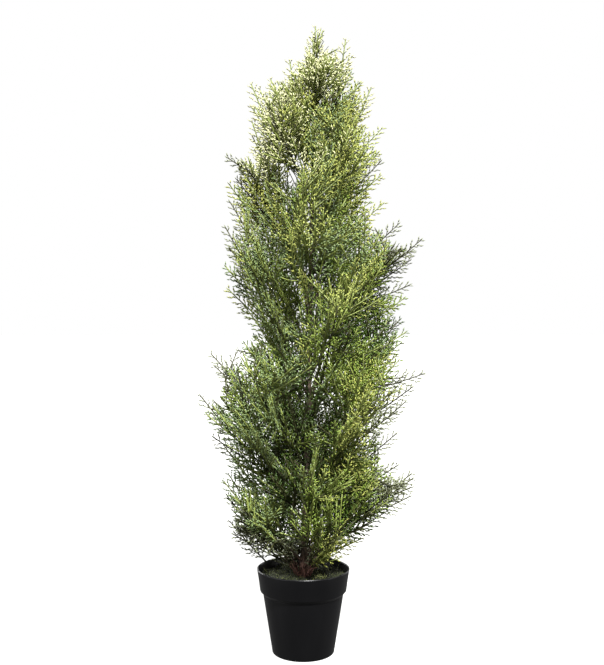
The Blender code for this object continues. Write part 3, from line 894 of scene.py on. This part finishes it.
def grow_frond(spray, seed, crown):
    """The rachis, twiglets and leaves of one spray: grown in its own plane, then curled and lifted."""
    root, heading, normal, length = spray
    rng = np.random.default_rng(seed)
    wing = np.cross(normal, heading)
    curl = rng.uniform(-FROND_CURL, FROND_CURL)
    lift = rng.uniform(*FROND_LIFT) * (1 - abs(heading[2]))
    bend = curl * normal + lift * UP

    def placed(points):
        share = points[..., :1] / length
        flat = points[..., :1] * heading + points[..., 1:2] * wing + points[..., 2:] * normal
        return root + flat + share**2 * length * bend

    def turned(axes, shares):
        forward = heading + 2 * shares[:, None] * bend
        return units(axes[:, :1] * forward + axes[:, 1:2] * wing + axes[:, 2:] * normal)

    along = np.arange(FROND_BARE * length, length - 0.5 * crown.leaf_length, crown.twiglet_spacing)
    along = along + rng.uniform(-TWIGLET_SCATTER, TWIGLET_SCATTER, along.size) * crown.twiglet_spacing
    share = along / length
    side = np.where(np.arange(along.size) % 2 == rng.integers(2), 1, -1)
    angle = side * (mix(*TWIGLET_ANGLES, share) + rng.uniform(-TWIGLET_JITTER, TWIGLET_JITTER, along.size))
    reach = frond_reach(share) * length / np.sin(abs(angle)) * rng.uniform(*TWIGLET_REACHES, along.size)
    reach = np.maximum(reach, LEAST_TWIGLET)
    pitch = rng.uniform(-TWIGLET_PITCH, TWIGLET_PITCH, along.size)
    twiglet = directions(angle, pitch)
    start = along[:, None] * ACROSS
    twiglets = np.stack([placed(start), placed(start + twiglet * reach[:, None])], 1)

    counts = np.maximum(1, (reach / crown.leaf_spacing).astype(int))
    owner = np.repeat(np.arange(along.size), counts)
    order = np.arange(owner.size) - np.repeat(np.cumsum(counts) - counts, counts)
    is_last = order == counts[owner] - 1
    place = np.minimum((order + FIRST_LEAF) * crown.leaf_spacing, reach[owner])
    turn = np.where(order % 2 == 0, 1, -1) * LEAF_ANGLE * ~is_last
    turn = turn + rng.uniform(-LEAF_JITTER, LEAF_JITTER, owner.size)
    leaf_angle = angle[owner] + turn
    leaf_pitch = pitch[owner] + rng.uniform(-LEAF_PITCH, LEAF_PITCH, owner.size)
    base = start[owner] + twiglet[owner] * place[:, None]
    base = np.concatenate([base, [ACROSS * (length - 0.6 * crown.leaf_length)]])
    axis = np.concatenate([directions(leaf_angle, leaf_pitch), [ACROSS]])
    size = crown.leaf_length * rng.uniform(*LEAF_LENGTHS, len(base))
    roll = rng.uniform(-LEAF_ROLL, LEAF_ROLL, len(base))
    direction = turned(axis, base[:, 0] / length)
    facing = normal + roll[:, None] * np.cross(direction, normal)
    leaves = np.stack([placed(base), direction * size[:, None], facing], 1)

    steps = np.linspace(0, length - 0.4 * crown.leaf_length, RACHIS_POINTS)
    rachis = placed(steps[:, None] * ACROSS)
    return rachis, twiglets, leaves


# Where young yellow-green growth shows: across, depth, height and radius of each patch.
FRESH_PATCHES = (
    (0.110, -0.040, 0.948, 0.045), (-0.002, -0.110, 0.800, 0.045), (-0.120, -0.040, 0.734, 0.035),
    (0.070, -0.110, 0.668, 0.045), (0.108, -0.080, 0.440, 0.055), (0.100, -0.080, 0.362, 0.045),
    (-0.075, -0.110, 0.500, 0.030), (-0.050, -0.020, 0.190, 0.040), (0.048, -0.010, 0.192, 0.030),
)
# The same for where the crown is darker and greener.
SHADED_PATCHES = (
    (-0.020, -0.080, 0.640, 0.050), (0.130, -0.040, 0.600, 0.055), (-0.010, -0.090, 0.500, 0.055),
    (-0.005, -0.090, 0.380, 0.035), (-0.060, -0.100, 0.600, 0.055), (0.050, -0.110, 0.590, 0.045),
)
LEAF_KINDS = ("deep", "mid", "cool", "olive", "fresh", "pale", "dusty")
# Deep sprays take dark stems as part of their painted shade; the greyed sprays take dark stems too.
DARK_STEMMED = ("deep", "dusty")
PATCH_SIZE = 0.11
TINT_SHIFT = Vector((7, 3, 5))
TINT_ACROSS = 0.4
TINT_JITTER = 0.3
LIGHT_AT_FOOT = -0.30
LIGHT_OF_HEIGHT = 0.85
LIGHT_OF_DEPTH = 0.85
MOST_DEPTH = 0.65
# Near the top every spray counts as an outer one.
OUTER_SLOPE = 3
OUTER_START = 2.1
LIGHT_OF_PATCH = 0.40
LIGHT_OF_FRESH = 0.45
SHADE_OF_SHADED = 0.30
LIGHT_JITTER = 0.13
# Below each of these lights a spray is deep, then mid or cool, then olive or cool. Above the last it is
# fresh, pale or olive.
DEEP_LIGHT, MID_LIGHT, OLIVE_LIGHT = 0.28, 0.66, 0.93
PALE_EDGE_LIGHT = 0.9
# Beyond this share of the crown's half width, sprays take the greyed green as a painted reflection of the
# white surround, or pale green as painted light.
SHEEN_EDGE = 0.76
EDGE_JITTER = 0.08
PALE_HEIGHT = 0.62
# The least tint of olive and of fresh sprays, below the pale height and above it.
OLIVE_TINTS = (-0.1, -0.5)
FRESH_TINTS = (0.5, 0.7)
FOOT_GREENS_HEIGHT = 0.235


def in_patches(point, patches):
    return any(np.linalg.norm(point - centre) < radius for *centre, radius in patches)


def leaf_kind(spray, seed):
    """Which of the leaf colours this spray takes. The colours carry painted light: darker inside the crown
    and below as painted shade, lighter outside and above as painted light, greyed at the edges as a painted
    reflection of the white surround, and in patches rather than at random."""
    root, heading, _, length = spray
    middle = root + heading * length / 2
    rng = random.Random(seed)
    offset = middle - trunk_centre(min(middle[2], TREE_HEIGHT))
    depth = math.hypot(offset[0], offset[1]) / crown_reach(middle[2], math.atan2(offset[1], offset[0]))
    across = offset[0] / crown_reach(middle[2], 0 if offset[0] > 0 else math.pi)
    height = (middle[2] - SOIL_HEIGHT) / (TREE_HEIGHT - SOIL_HEIGHT)
    depth = max(depth, OUTER_SLOPE * height - OUTER_START)
    is_fresh = in_patches(middle, FRESH_PATCHES)
    is_shaded = in_patches(middle, SHADED_PATCHES)
    is_high = bool(height > PALE_HEIGHT)
    patch = noise.noise(Vector(middle) / PATCH_SIZE)
    tint = noise.noise(Vector(middle) / PATCH_SIZE + TINT_SHIFT) + TINT_ACROSS * across
    tint += rng.uniform(-TINT_JITTER, TINT_JITTER)
    # Painted light: the spray is lighter towards the top and the outside of the crown, and darker inside it,
    # low down and in the shaded patches as painted shade.
    light = LIGHT_OF_HEIGHT * height + LIGHT_OF_DEPTH * min(depth, MOST_DEPTH) + LIGHT_OF_PATCH * patch
    light += LIGHT_AT_FOOT + LIGHT_OF_FRESH * is_fresh - SHADE_OF_SHADED * is_shaded
    light += rng.uniform(-LIGHT_JITTER, LIGHT_JITTER)
    # Painted reflection at the crown's edges: greyed green, or pale green where the painted light is high.
    if abs(across) > SHEEN_EDGE + rng.uniform(-EDGE_JITTER, EDGE_JITTER) and not is_fresh:
        return "pale" if light > PALE_EDGE_LIGHT else "dusty"
    if middle[2] < FOOT_GREENS_HEIGHT:
        return "olive" if tint > 0 else "dusty"
    if light < DEEP_LIGHT:
        return "deep"
    if light < MID_LIGHT:
        return "mid" if tint > 0 else "cool"
    if light < OLIVE_LIGHT:
        return "olive" if tint > OLIVE_TINTS[is_high] else "cool"
    if is_fresh or tint > FRESH_TINTS[is_high]:
        return "fresh"
    return "pale" if is_high else "olive"


@functools.cache
def foot_sprigs():
    """Paths of the stems that fan out from the trunk's foot, and the sprays along them."""
    paths, sprays = [], []
    for number in range(FOOT_STEMS):
        rng = random.Random(FOOT_SEED + number)
        azimuth = number * GOLDEN_ANGLE + rng.uniform(-FOOT_TURN_JITTER, FOOT_TURN_JITTER)
        outward, across = level_pair(azimuth)
        root = np.array((0, 0, FOOT_ROOT_HEIGHT)) + outward * rng.uniform(*FOOT_ROOT_PLACES)
        is_front = math.sin(azimuth) < FRONT_SINE
        reach = rng.uniform(*(FRONT_REACHES if is_front else SIDE_REACHES))
        rise = rng.uniform(*(FRONT_RISES if is_front else SIDE_RISES))
        end = root + outward * reach + UP * rise + across * rng.uniform(-FOOT_SWAY, FOOT_SWAY)
        middle = mix(root, end, FOOT_BEND_PLACE) + UP * FOOT_BEND_RISE - outward * FOOT_BEND_PULL
        path = arched(root, middle, end, FOOT_POINTS)
        paths.append(path)
        if is_front:
            continue
        heading = unit(path[-1] - path[-3])
        normal = unit(np.cross(across, heading) + across * rng.uniform(-FOOT_ROLL, FOOT_ROLL))
        normal = unit(normal - heading * (normal @ heading))
        sprays.append((path[-2], heading, normal, rng.uniform(*FOOT_END_LENGTHS)))
        for place, turn in FOOT_SIDE_SPRAYS:
            aside = swung(heading, np.cross(normal, heading), turn * SPRAY_SPREAD)
            sprays.append((path[place], unit(aside), normal, rng.uniform(*FOOT_SIDE_LENGTHS)))
    return paths, sprays


@functools.cache
def grown_fronds(leaf_length, leaf_spacing, twiglet_spacing):
    """For each leaf colour, the rachises, twiglets and leaves of its fronds."""
    crown = bpy.context.scene.cypress_crown
    _, crown_sprays = crown_growth()
    _, low_sprays = foot_sprigs()
    kinds = {kind: ([], [], []) for kind in LEAF_KINDS}
    for seed, spray in enumerate(crown_sprays + low_sprays):
        frond = grow_frond(spray, seed, crown)
        for gathered, part in zip(kinds[leaf_kind(spray, seed)], frond):
            gathered.append(part)
    return {
        kind: (np.array(rachises), np.concatenate(twiglets), np.concatenate(leaves))
        for kind, (rachises, twiglets, leaves) in kinds.items()
        if rachises
    }


def fronds_of(crown):
    return grown_fronds(crown.leaf_length, crown.leaf_spacing, crown.twiglet_spacing)


# Pieces.


def profile_arc(centre, radius, start, end, steps):
    """Points (radius, height) of an arc between two angles in degrees."""
    angles = [math.radians(mix(start, end, step / steps)) for step in range(steps + 1)]
    return [(centre[0] + radius * math.cos(a), centre[1] + radius * math.sin(a)) for a in angles]


def spun(profile, steps):
    """A profile of (radius, height) spun round Z, starting and ending on the axis."""
    bm = bmesh.new()
    verts = [bm.verts.new((radius, 0, height)) for radius, height in profile]
    edges = [bm.edges.new(pair) for pair in zip(verts, verts[1:])]
    bmesh.ops.spin(
        bm,
        geom=verts + edges,
        axis=(0, 0, 1),
        cent=(0, 0, 0),
        angle=2 * math.pi,
        steps=steps,
        use_merge=True,
    )
    bmesh.ops.remove_doubles(bm, verts=bm.verts, dist=1e-6)
    return bm


POT_BAND_BOTTOM = 0.1203
POT_BAND_RADIUS = 0.0826
POT_SHOULDER = 0.1100
POT_BODY_RADIUS = 0.0766
POT_FOOT_RADIUS = 0.0595
POT_FOOT_ROUND = 0.003
# The groove under the band: out from the body and up from the shoulder.
POT_GROOVE = ((0, 0), (0, 0.0024), (0.0018, 0.0040))
POT_BAND_ROUND = 0.0016
POT_BAND_UNDERCUT = (0.0022, 0.0036)
POT_BAND_DEPTH = 0.020
POT_WALL = 0.0026
POT_FLOOR = 0.004
POT_LIP_RADIUS = 0.0016
POT_STEPS = 144
POT_SHARP_ANGLE = 35


class CYPRESS_OT_pot(bpy.types.Operator):
    """Build the black nursery pot: tapered body, stepped band and rolled lip"""

    bl_idname = "cypress.pot"
    bl_label = "Nursery Pot"
    bl_options = {"REGISTER", "UNDO"}

    def execute(self, context):
        pot = context.scene.cypress_pot
        lip = POT_LIP_RADIUS
        slope = (pot.rim_radius - POT_BAND_RADIUS) / (pot.height - POT_BAND_BOTTOM)
        band_edge = (POT_BAND_RADIUS - POT_BAND_ROUND, POT_BAND_BOTTOM - 0.0010)
        profile = [
            (0, 0),
            *profile_arc((POT_FOOT_RADIUS - POT_FOOT_ROUND, POT_FOOT_ROUND), POT_FOOT_ROUND, -90, 8, 5),
            *[(POT_BODY_RADIUS + out, POT_SHOULDER + up) for out, up in POT_GROOVE],
            (POT_BAND_RADIUS - POT_BAND_UNDERCUT[0], POT_BAND_BOTTOM - POT_BAND_UNDERCUT[1]),
            *profile_arc(band_edge, POT_BAND_ROUND, -55, 0, 3),
            (POT_BAND_RADIUS + slope * POT_BAND_DEPTH, POT_BAND_BOTTOM + POT_BAND_DEPTH),
            *profile_arc((pot.rim_radius - lip, pot.height - lip), lip, -10, 190, 9),
            (POT_BAND_RADIUS - POT_WALL, POT_BAND_BOTTOM),
            (POT_BODY_RADIUS - POT_WALL, POT_SHOULDER),
            (POT_FOOT_RADIUS - POT_WALL, POT_FLOOR),
            (0, POT_FLOOR),
        ]
        mesh = mesh_from("nursery_pot", spun(profile, POT_STEPS), POT_SHARP_ANGLE)
        piece_from(mesh, moulded_pot_plastic(pot.colour), [POT_NODE])
        return {"FINISHED"}


# How many mounds and crumbs of the moss bed, and patches of dry moss, go to a metre.
MOUNDS = 38
CRUMBS = 260
DRY_PATCHES = 45
MOUND_HEIGHT = 0.0042
CRUMB_HEIGHT = 0.0016
MOSS_SINK = 0.0006
MOSS_LEVEL_RADIUS = 0.010
MOSS_LEVEL_FADE = 0.015
MOSS_STEPS = 120
MOSS_RINGS = 44
MOSS_INNER_RING = 0.002
FIBRE_SEED = 5
FIBRE_STANDS = (0.15, 1.1)
FIBRE_LENGTHS = (0.45, 1.0)
FIBRE_RADII = (0.0004, 0.0009)
FIBRE_INSET = 0.003
FIBRE_TIP_INSET = 0.001
FRESH_TUFT = (0.030, -0.012)
FRESH_TUFT_RADIUS = 0.014
FRESH_SHARES = (0.5, 0.03)
DRY_SHARES = (0.22, 0.8)


def moss_rise(x, y):
    """Height of the moss bed above its level: low mounds with a crumbly top."""
    mounds = noise.noise(Vector((x * MOUNDS, y * MOUNDS, 0.7)))
    crumbs = noise.turbulence(Vector((x * CRUMBS, y * CRUMBS, 3.1)), 3, False)
    fade = min(1.0, max(0.0, math.hypot(x, y) - MOSS_LEVEL_RADIUS) / MOSS_LEVEL_FADE)
    return (MOUND_HEIGHT * mounds + CRUMB_HEIGHT * crumbs - MOSS_SINK) * fade


def build_moss_bed(moss, top, edge):
    profile = [
        (0, FILL_LOW.z),
        (POT_FOOT_RADIUS - POT_WALL - CLEARANCE, FILL_LOW.z),
        (POT_BODY_RADIUS - POT_WALL - CLEARANCE, POT_SHOULDER),
        *[(mix(edge, MOSS_INNER_RING, ring / MOSS_RINGS), top) for ring in range(MOSS_RINGS + 1)],
        (0, top),
    ]
    bm = spun(profile, MOSS_STEPS)
    for vert in bm.verts:
        if vert.co.z > top - CLEARANCE:
            vert.co.z += moss_rise(vert.co.x, vert.co.y)
    bed = preserved_moss("moss_bed", moss.bed_colour)
    piece_from(mesh_from("moss_bed", bm), bed, [FILL_NODE])


def build_moss_fibres(moss, top, edge):
    rng = np.random.default_rng(FIBRE_SEED)
    angle = rng.uniform(0, 2 * math.pi, moss.fibres)
    radius = (edge - FIBRE_INSET) * np.sqrt(rng.uniform(0.02, 1, moss.fibres))
    bases = np.stack([radius * np.cos(angle), radius * np.sin(angle), np.full(moss.fibres, top)], 1)
    bases[:, 2] += [moss_rise(x, y) - MOSS_SINK for x, y, _ in bases]
    lean = rng.uniform(0, 2 * math.pi, moss.fibres)
    stand = rng.uniform(*FIBRE_STANDS, moss.fibres)
    reach = moss.fibre_length * rng.uniform(*FIBRE_LENGTHS, moss.fibres)
    tips = bases + directions(lean, stand) * reach[:, None]
    far = np.hypot(tips[:, 0], tips[:, 1])
    tips[:, :2] *= np.minimum(1, (edge - FIBRE_TIP_INSET) / far)[:, None]
    patches = np.array([noise.noise(Vector((x * DRY_PATCHES, y * DRY_PATCHES, 9.0))) for x, y, _ in bases])
    in_tuft = np.hypot(bases[:, 0] - FRESH_TUFT[0], bases[:, 1] - FRESH_TUFT[1]) < FRESH_TUFT_RADIUS
    dice = rng.random(moss.fibres)
    fresh = (in_tuft & (dice < FRESH_SHARES[0])) | (dice < FRESH_SHARES[1])
    olive = ~fresh & (dice < DRY_SHARES[0] + DRY_SHARES[1] * patches)
    for name, chosen, colour in (
        ("moss_dark", ~fresh & ~olive, moss.dark_colour),
        ("moss_olive", olive, moss.olive_colour),
        ("moss_fresh", fresh, moss.fresh_colour),
    ):
        points = spike_points(bases[chosen], tips[chosen], rng.uniform(*FIBRE_RADII, chosen.sum()))
        mesh = mesh_of_copies(name, [(points, SPIKE_TRIANGLES)])
        piece_from(mesh, preserved_moss(name, colour), [FILL_NODE])


class CYPRESS_OT_moss(bpy.types.Operator):
    """Build the moss bed on the pot's filling, and the fibres that stand out of it"""

    bl_idname = "cypress.moss"
    bl_label = "Moss"
    bl_options = {"REGISTER", "UNDO"}

    def execute(self, context):
        moss = context.scene.cypress_moss
        build_moss_bed(moss, SOIL_HEIGHT - CLEARANCE, FILL_HIGH.x)
        build_moss_fibres(moss, SOIL_HEIGHT - CLEARANCE, FILL_HIGH.x)
        return {"FINISHED"}


def add_limb(bm, path, radii, sides):
    """Extrudes a circle along the path, and closes both ends."""
    path = np.asarray(path)
    frames = []
    for centre, forward, radius in zip(path, units(np.gradient(path, axis=0)), radii):
        side = across_of(forward)
        turned = Matrix(np.stack([side, np.cross(forward, side), forward], 1)).to_4x4()
        frames.append(Matrix.Translation(centre) @ turned @ Matrix.Scale(radius, 4))
    circle = bmesh.ops.create_circle(bm, segments=sides, radius=1.0, matrix=frames[0])["verts"]
    edges = list(dict.fromkeys(edge for vert in circle for edge in vert.link_edges))
    bmesh.ops.edgeloop_fill(bm, edges=edges)
    for before, after in zip(frames, frames[1:]):
        made = bmesh.ops.extrude_edge_only(bm, edges=edges)["geom"]
        verts = [part for part in made if isinstance(part, bmesh.types.BMVert)]
        edges = [part for part in made if isinstance(part, bmesh.types.BMEdge) and part.is_boundary]
        bmesh.ops.transform(bm, matrix=after @ before.inverted(), verts=verts)
    bmesh.ops.edgeloop_fill(bm, edges=edges)


class CYPRESS_OT_bark(bpy.types.Operator):
    """Build the trunk, the boughs and the foot stems as one mesh with the relief of bark"""

    bl_idname = "cypress.bark"
    bl_label = "Trunk and Boughs"
    bl_options = {"REGISTER", "UNDO"}

    def execute(self, context):
        bark = context.scene.cypress_bark
        bm = bmesh.new()
        heights = np.arange(SOIL_HEIGHT - TRUNK_SUNK, TRUNK_TOP, TRUNK_STEP)
        radii = [trunk_radius(max(height, SOIL_HEIGHT)) for height in heights]
        add_limb(bm, [trunk_centre(height) for height in heights], radii, 20)
        for spine in crown_spines()[:BOUGHS]:
            shares = np.linspace(0, BARE_SHARE, BOUGH_POINTS)
            path = [spine_at(spine, share)[0] for share in shares]
            path[0] = path[0] - unit(path[1] - path[0]) * BOUGH_RADII[0]
            add_limb(bm, path, np.linspace(*BOUGH_RADII, BOUGH_POINTS) * LIMB_SLIMNESS, 10)
        paths, _ = foot_sprigs()
        for path in paths:
            add_limb(bm, path, np.linspace(*FOOT_STEM_RADII, len(path)), 8)
        bm.normal_update()
        across = 1 / bark.ridge_width
        shifts = {}
        for vert in bm.verts:
            x, y, z = vert.co
            ridges = noise.turbulence(Vector((x * across, y * across, z * across / RIDGE_STRETCH)), 3, True)
            shifts[vert] = vert.normal * bark.relief * (ridges - 0.5)
        for vert, shift in shifts.items():
            vert.co += shift
        material = wrapped_bark(bark.foot_colour, bark.limb_colour)
        piece_from(mesh_from("bark", bm), material, BARK_NODES)
        return {"FINISHED"}


def twig_point(twig, share):
    start, end, normal = twig
    return mix(start, end, share) + normal * TWIG_BOW * np.linalg.norm(end - start) * share * (1 - share)


def build_wires(crown):
    """The stems of the foliage and its wired twigs, as one mesh."""
    stems = []
    for index, spine in enumerate(crown_spines()):
        end = STEM_NECK
        while end > BARE_SHARE and not within_reach(spine_at(spine, end)[0], CROWN_INSET):
            end -= STEM_TRIM
        shares = np.linspace(stem_start(index), end, STEM_POINTS)
        stems.append([spine_at(spine, share)[0] for share in shares])
    twigs, _ = crown_growth()
    paths = [[twig_point(twig, share) for share in TWIG_SHARES] for twig in twigs]
    mesh = mesh_of_copies("wired_twigs", [tubes(stems, STEM_RADII, 6), tubes(paths, TWIG_RADII, 4)])
    piece_from(mesh, moulded_leaf_plastic("wrapped_wire", crown.wire_colour), FOLIAGE_NODES)


def build_frond_stems(name, crown, is_dark, colour):
    """The rachises and twiglets of the fronds with dark stems, or of all others, as one mesh."""
    kinds = [fronds for kind, fronds in fronds_of(crown).items() if (kind in DARK_STEMMED) == is_dark]
    rachises = np.concatenate([fronds[0] for fronds in kinds])
    twiglets = np.concatenate([fronds[1] for fronds in kinds])
    spikes = spike_points(twiglets[:, 0], twiglets[:, 1], np.full(len(twiglets), TWIGLET_RADIUS))
    mesh = mesh_of_copies(name, [tubes(rachises, RACHIS_RADII, 3), (spikes, SPIKE_TRIANGLES)])
    piece_from(mesh, moulded_leaf_plastic(name, colour), FOLIAGE_NODES)


class CYPRESS_OT_twigs(bpy.types.Operator):
    """Build the stems and wired twigs of the foliage, and the rachises and twiglets of its fronds"""

    bl_idname = "cypress.twigs"
    bl_label = "Twigs"
    bl_options = {"REGISTER", "UNDO"}

    def execute(self, context):
        crown = context.scene.cypress_crown
        build_wires(crown)
        build_frond_stems("green_twigs", crown, False, crown.rachis_colour)
        build_frond_stems("dark_twigs", crown, True, crown.wire_colour)
        return {"FINISHED"}


class CYPRESS_OT_leaves(bpy.types.Operator):
    """Build the small moulded leaves, frond by frond, each frond in one of the greens"""

    bl_idname = "cypress.leaves"
    bl_label = "Leaves"
    bl_options = {"REGISTER", "UNDO"}

    def execute(self, context):
        crown = context.scene.cypress_crown
        width_share = crown.leaf_width / crown.leaf_length
        thickness_share = crown.leaf_thickness / crown.leaf_length
        for kind, (_, _, leaves) in fronds_of(crown).items():
            material = moulded_leaf_plastic(f"leaf_{kind}", getattr(crown, f"{kind}_colour"))
            parts = math.ceil(len(leaves) * len(LEAF_TRIANGLES) / MOST_TRIANGLES)
            for part, chosen in enumerate(np.array_split(leaves, parts)):
                points = leaf_points(chosen, width_share, thickness_share)
                mesh = mesh_of_copies(f"leaves_{kind}_{part + 1}", [(points, LEAF_TRIANGLES)])
                piece_from(mesh, material, FOLIAGE_NODES)
        return {"FINISHED"}


# Stage.

CAMERA_LENS = 46.67
SENSOR = 36.0
KEY_DIRECTION = (-0.14, 0.55, -0.80)
KEY_SOFTNESS = math.radians(6)
BACK_DIRECTION = (0.30, -0.75, -0.60)
BACK_SOFTNESS = math.radians(25)
BACK_SHARE = 0.24
FLOOR_HALF_SIDE = 150
# The floor's own shade is dark and most of its light is its own glow, so that no shadow shows on it.
FLOOR_SHADE = 0.15
BOX_TARGET = (0, 0, 0.4)
# Name, place, size and share of the power of each soft box.
SOFT_BOXES = (
    ("left_box", (-2.0, -1.1, 0.55), (1.4, 1.1), 1.0),
    ("right_box", (2.1, -0.7, 0.55), (0.6, 1.1), 0.6),
    ("back_left_box", (-1.3, 1.1, 0.35), (0.7, 0.7), 0.3),
    ("back_right_box", (1.3, 1.1, 0.35), (0.7, 0.7), 0.3),
)


def soft_box(name, place, size, power):
    data = bpy.data.lights.new(name, "AREA")
    data.shape = "RECTANGLE"
    data.size, data.size_y = size
    data.energy = power
    placed_object(name, data, place, Vector(BOX_TARGET) - Vector(place))


def sun_light(name, direction, softness, strength):
    data = bpy.data.lights.new(name, "SUN")
    data.energy = strength
    data.angle = softness
    placed_object(name, data, aim=direction)


def studio_world(strength):
    """Plain white to look at, and a dimmer soft light on the objects."""
    world = bpy.data.worlds.new("studio_surround")
    world.use_nodes = True
    seen = world.node_tree.nodes["Background"]
    seen.inputs["Color"].default_value = (1, 1, 1, 1)
    seen.inputs["Strength"].default_value = 1.0
    soft = add_node(world, "ShaderNodeBackground", {"Color": (1, 1, 1, 1), "Strength": strength})
    to_eye = add_node(world, "ShaderNodeLightPath").outputs["Is Camera Ray"]
    blend = add_node(world, "ShaderNodeMixShader", {0: to_eye, 1: soft.outputs[0], 2: seen.outputs[0]})
    feed(world, world.node_tree.nodes["World Output"].inputs["Surface"], blend.outputs[0])
    return world


class CYPRESS_OT_stage(bpy.types.Operator):
    """Build the pale floor, the soft studio light and the camera"""

    bl_idname = "cypress.stage"
    bl_label = "Stage"
    bl_options = {"REGISTER", "UNDO"}

    def execute(self, context):
        stage = context.scene.cypress_stage
        bm = bmesh.new()
        bmesh.ops.create_grid(bm, x_segments=1, y_segments=1, size=FLOOR_HALF_SIDE)
        mesh = bpy.data.meshes.new("pale_floor")
        bm.to_mesh(mesh)
        bm.free()
        material, shader = new_material("pale_floor")
        shader.inputs["Base Color"].default_value = (*[FLOOR_SHADE * c for c in stage.floor_colour[:3]], 1)
        shader.inputs["Roughness"].default_value = 0.9
        shader.inputs["Specular IOR Level"].default_value = 0.0
        shader.inputs["Emission Color"].default_value = stage.floor_colour
        shader.inputs["Emission Strength"].default_value = stage.floor_glow
        mesh.materials.append(material)
        floor = placed_object("pale_floor", mesh)
        floor.visible_diffuse = False
        floor.visible_glossy = False

        context.scene.world = studio_world(stage.surround)
        sun_light("key_light", KEY_DIRECTION, KEY_SOFTNESS, stage.key_strength)
        sun_light("back_light", BACK_DIRECTION, BACK_SOFTNESS, BACK_SHARE * stage.key_strength)
        for name, place, size, share in SOFT_BOXES:
            soft_box(name, place, size, share * stage.box_power)

        data = bpy.data.cameras.new("camera")
        data.sensor_fit = "VERTICAL"
        data.sensor_height = SENSOR
        data.lens = CAMERA_LENS
        camera = placed_object("camera", data, (EYE_SHIFT, -EYE_DISTANCE, EYE_HEIGHT))
        camera.rotation_euler = (math.pi / 2, 0, 0)
        context.scene.camera = camera
        context.scene.view_settings.view_transform = "Standard"
        return {"FINISHED"}


class CYPRESS_PT_panel(bpy.types.Panel):
    """Lists the pieces in the order in which they are built"""

    bl_idname = "CYPRESS_PT_panel"
    bl_label = "Artificial Cypress"
    bl_space_type = "VIEW_3D"
    bl_region_type = "UI"
    bl_category = "Cypress"

    def draw(self, context):
        for operator, settings in PIECES:
            box = self.layout.box()
            box.operator(operator.bl_idname)
            group = getattr(context.scene, settings)
            for name in group.__annotations__:
                box.prop(group, name)


PIECES = (
    (CYPRESS_OT_pot, "cypress_pot"),
    (CYPRESS_OT_moss, "cypress_moss"),
    (CYPRESS_OT_bark, "cypress_bark"),
    (CYPRESS_OT_twigs, "cypress_crown"),
    (CYPRESS_OT_leaves, "cypress_crown"),
    (CYPRESS_OT_stage, "cypress_stage"),
)
SETTINGS = {
    "cypress_pot": CypressPotSettings,
    "cypress_moss": CypressMossSettings,
    "cypress_bark": CypressBarkSettings,
    "cypress_crown": CypressCrownSettings,
    "cypress_stage": CypressStageSettings,
}


def register():
    for name, group in SETTINGS.items():
        bpy.utils.register_class(group)
        setattr(bpy.types.Scene, name, bpy.props.PointerProperty(type=group))
    for operator, _ in PIECES:
        bpy.utils.register_class(operator)
    bpy.utils.register_class(CYPRESS_PT_panel)


def unregister():
    bpy.utils.unregister_class(CYPRESS_PT_panel)
    for operator, _ in reversed(PIECES):
        bpy.utils.unregister_class(operator)
    for name, group in reversed(SETTINGS.items()):
        delattr(bpy.types.Scene, name)
        bpy.utils.unregister_class(group)


def main():
    register()
    bpy.ops.cypress.pot()
    bpy.ops.cypress.moss()
    bpy.ops.cypress.bark()
    bpy.ops.cypress.twigs()
    bpy.ops.cypress.leaves()
    bpy.ops.cypress.stage()


if __name__ == "__main__":
    main()
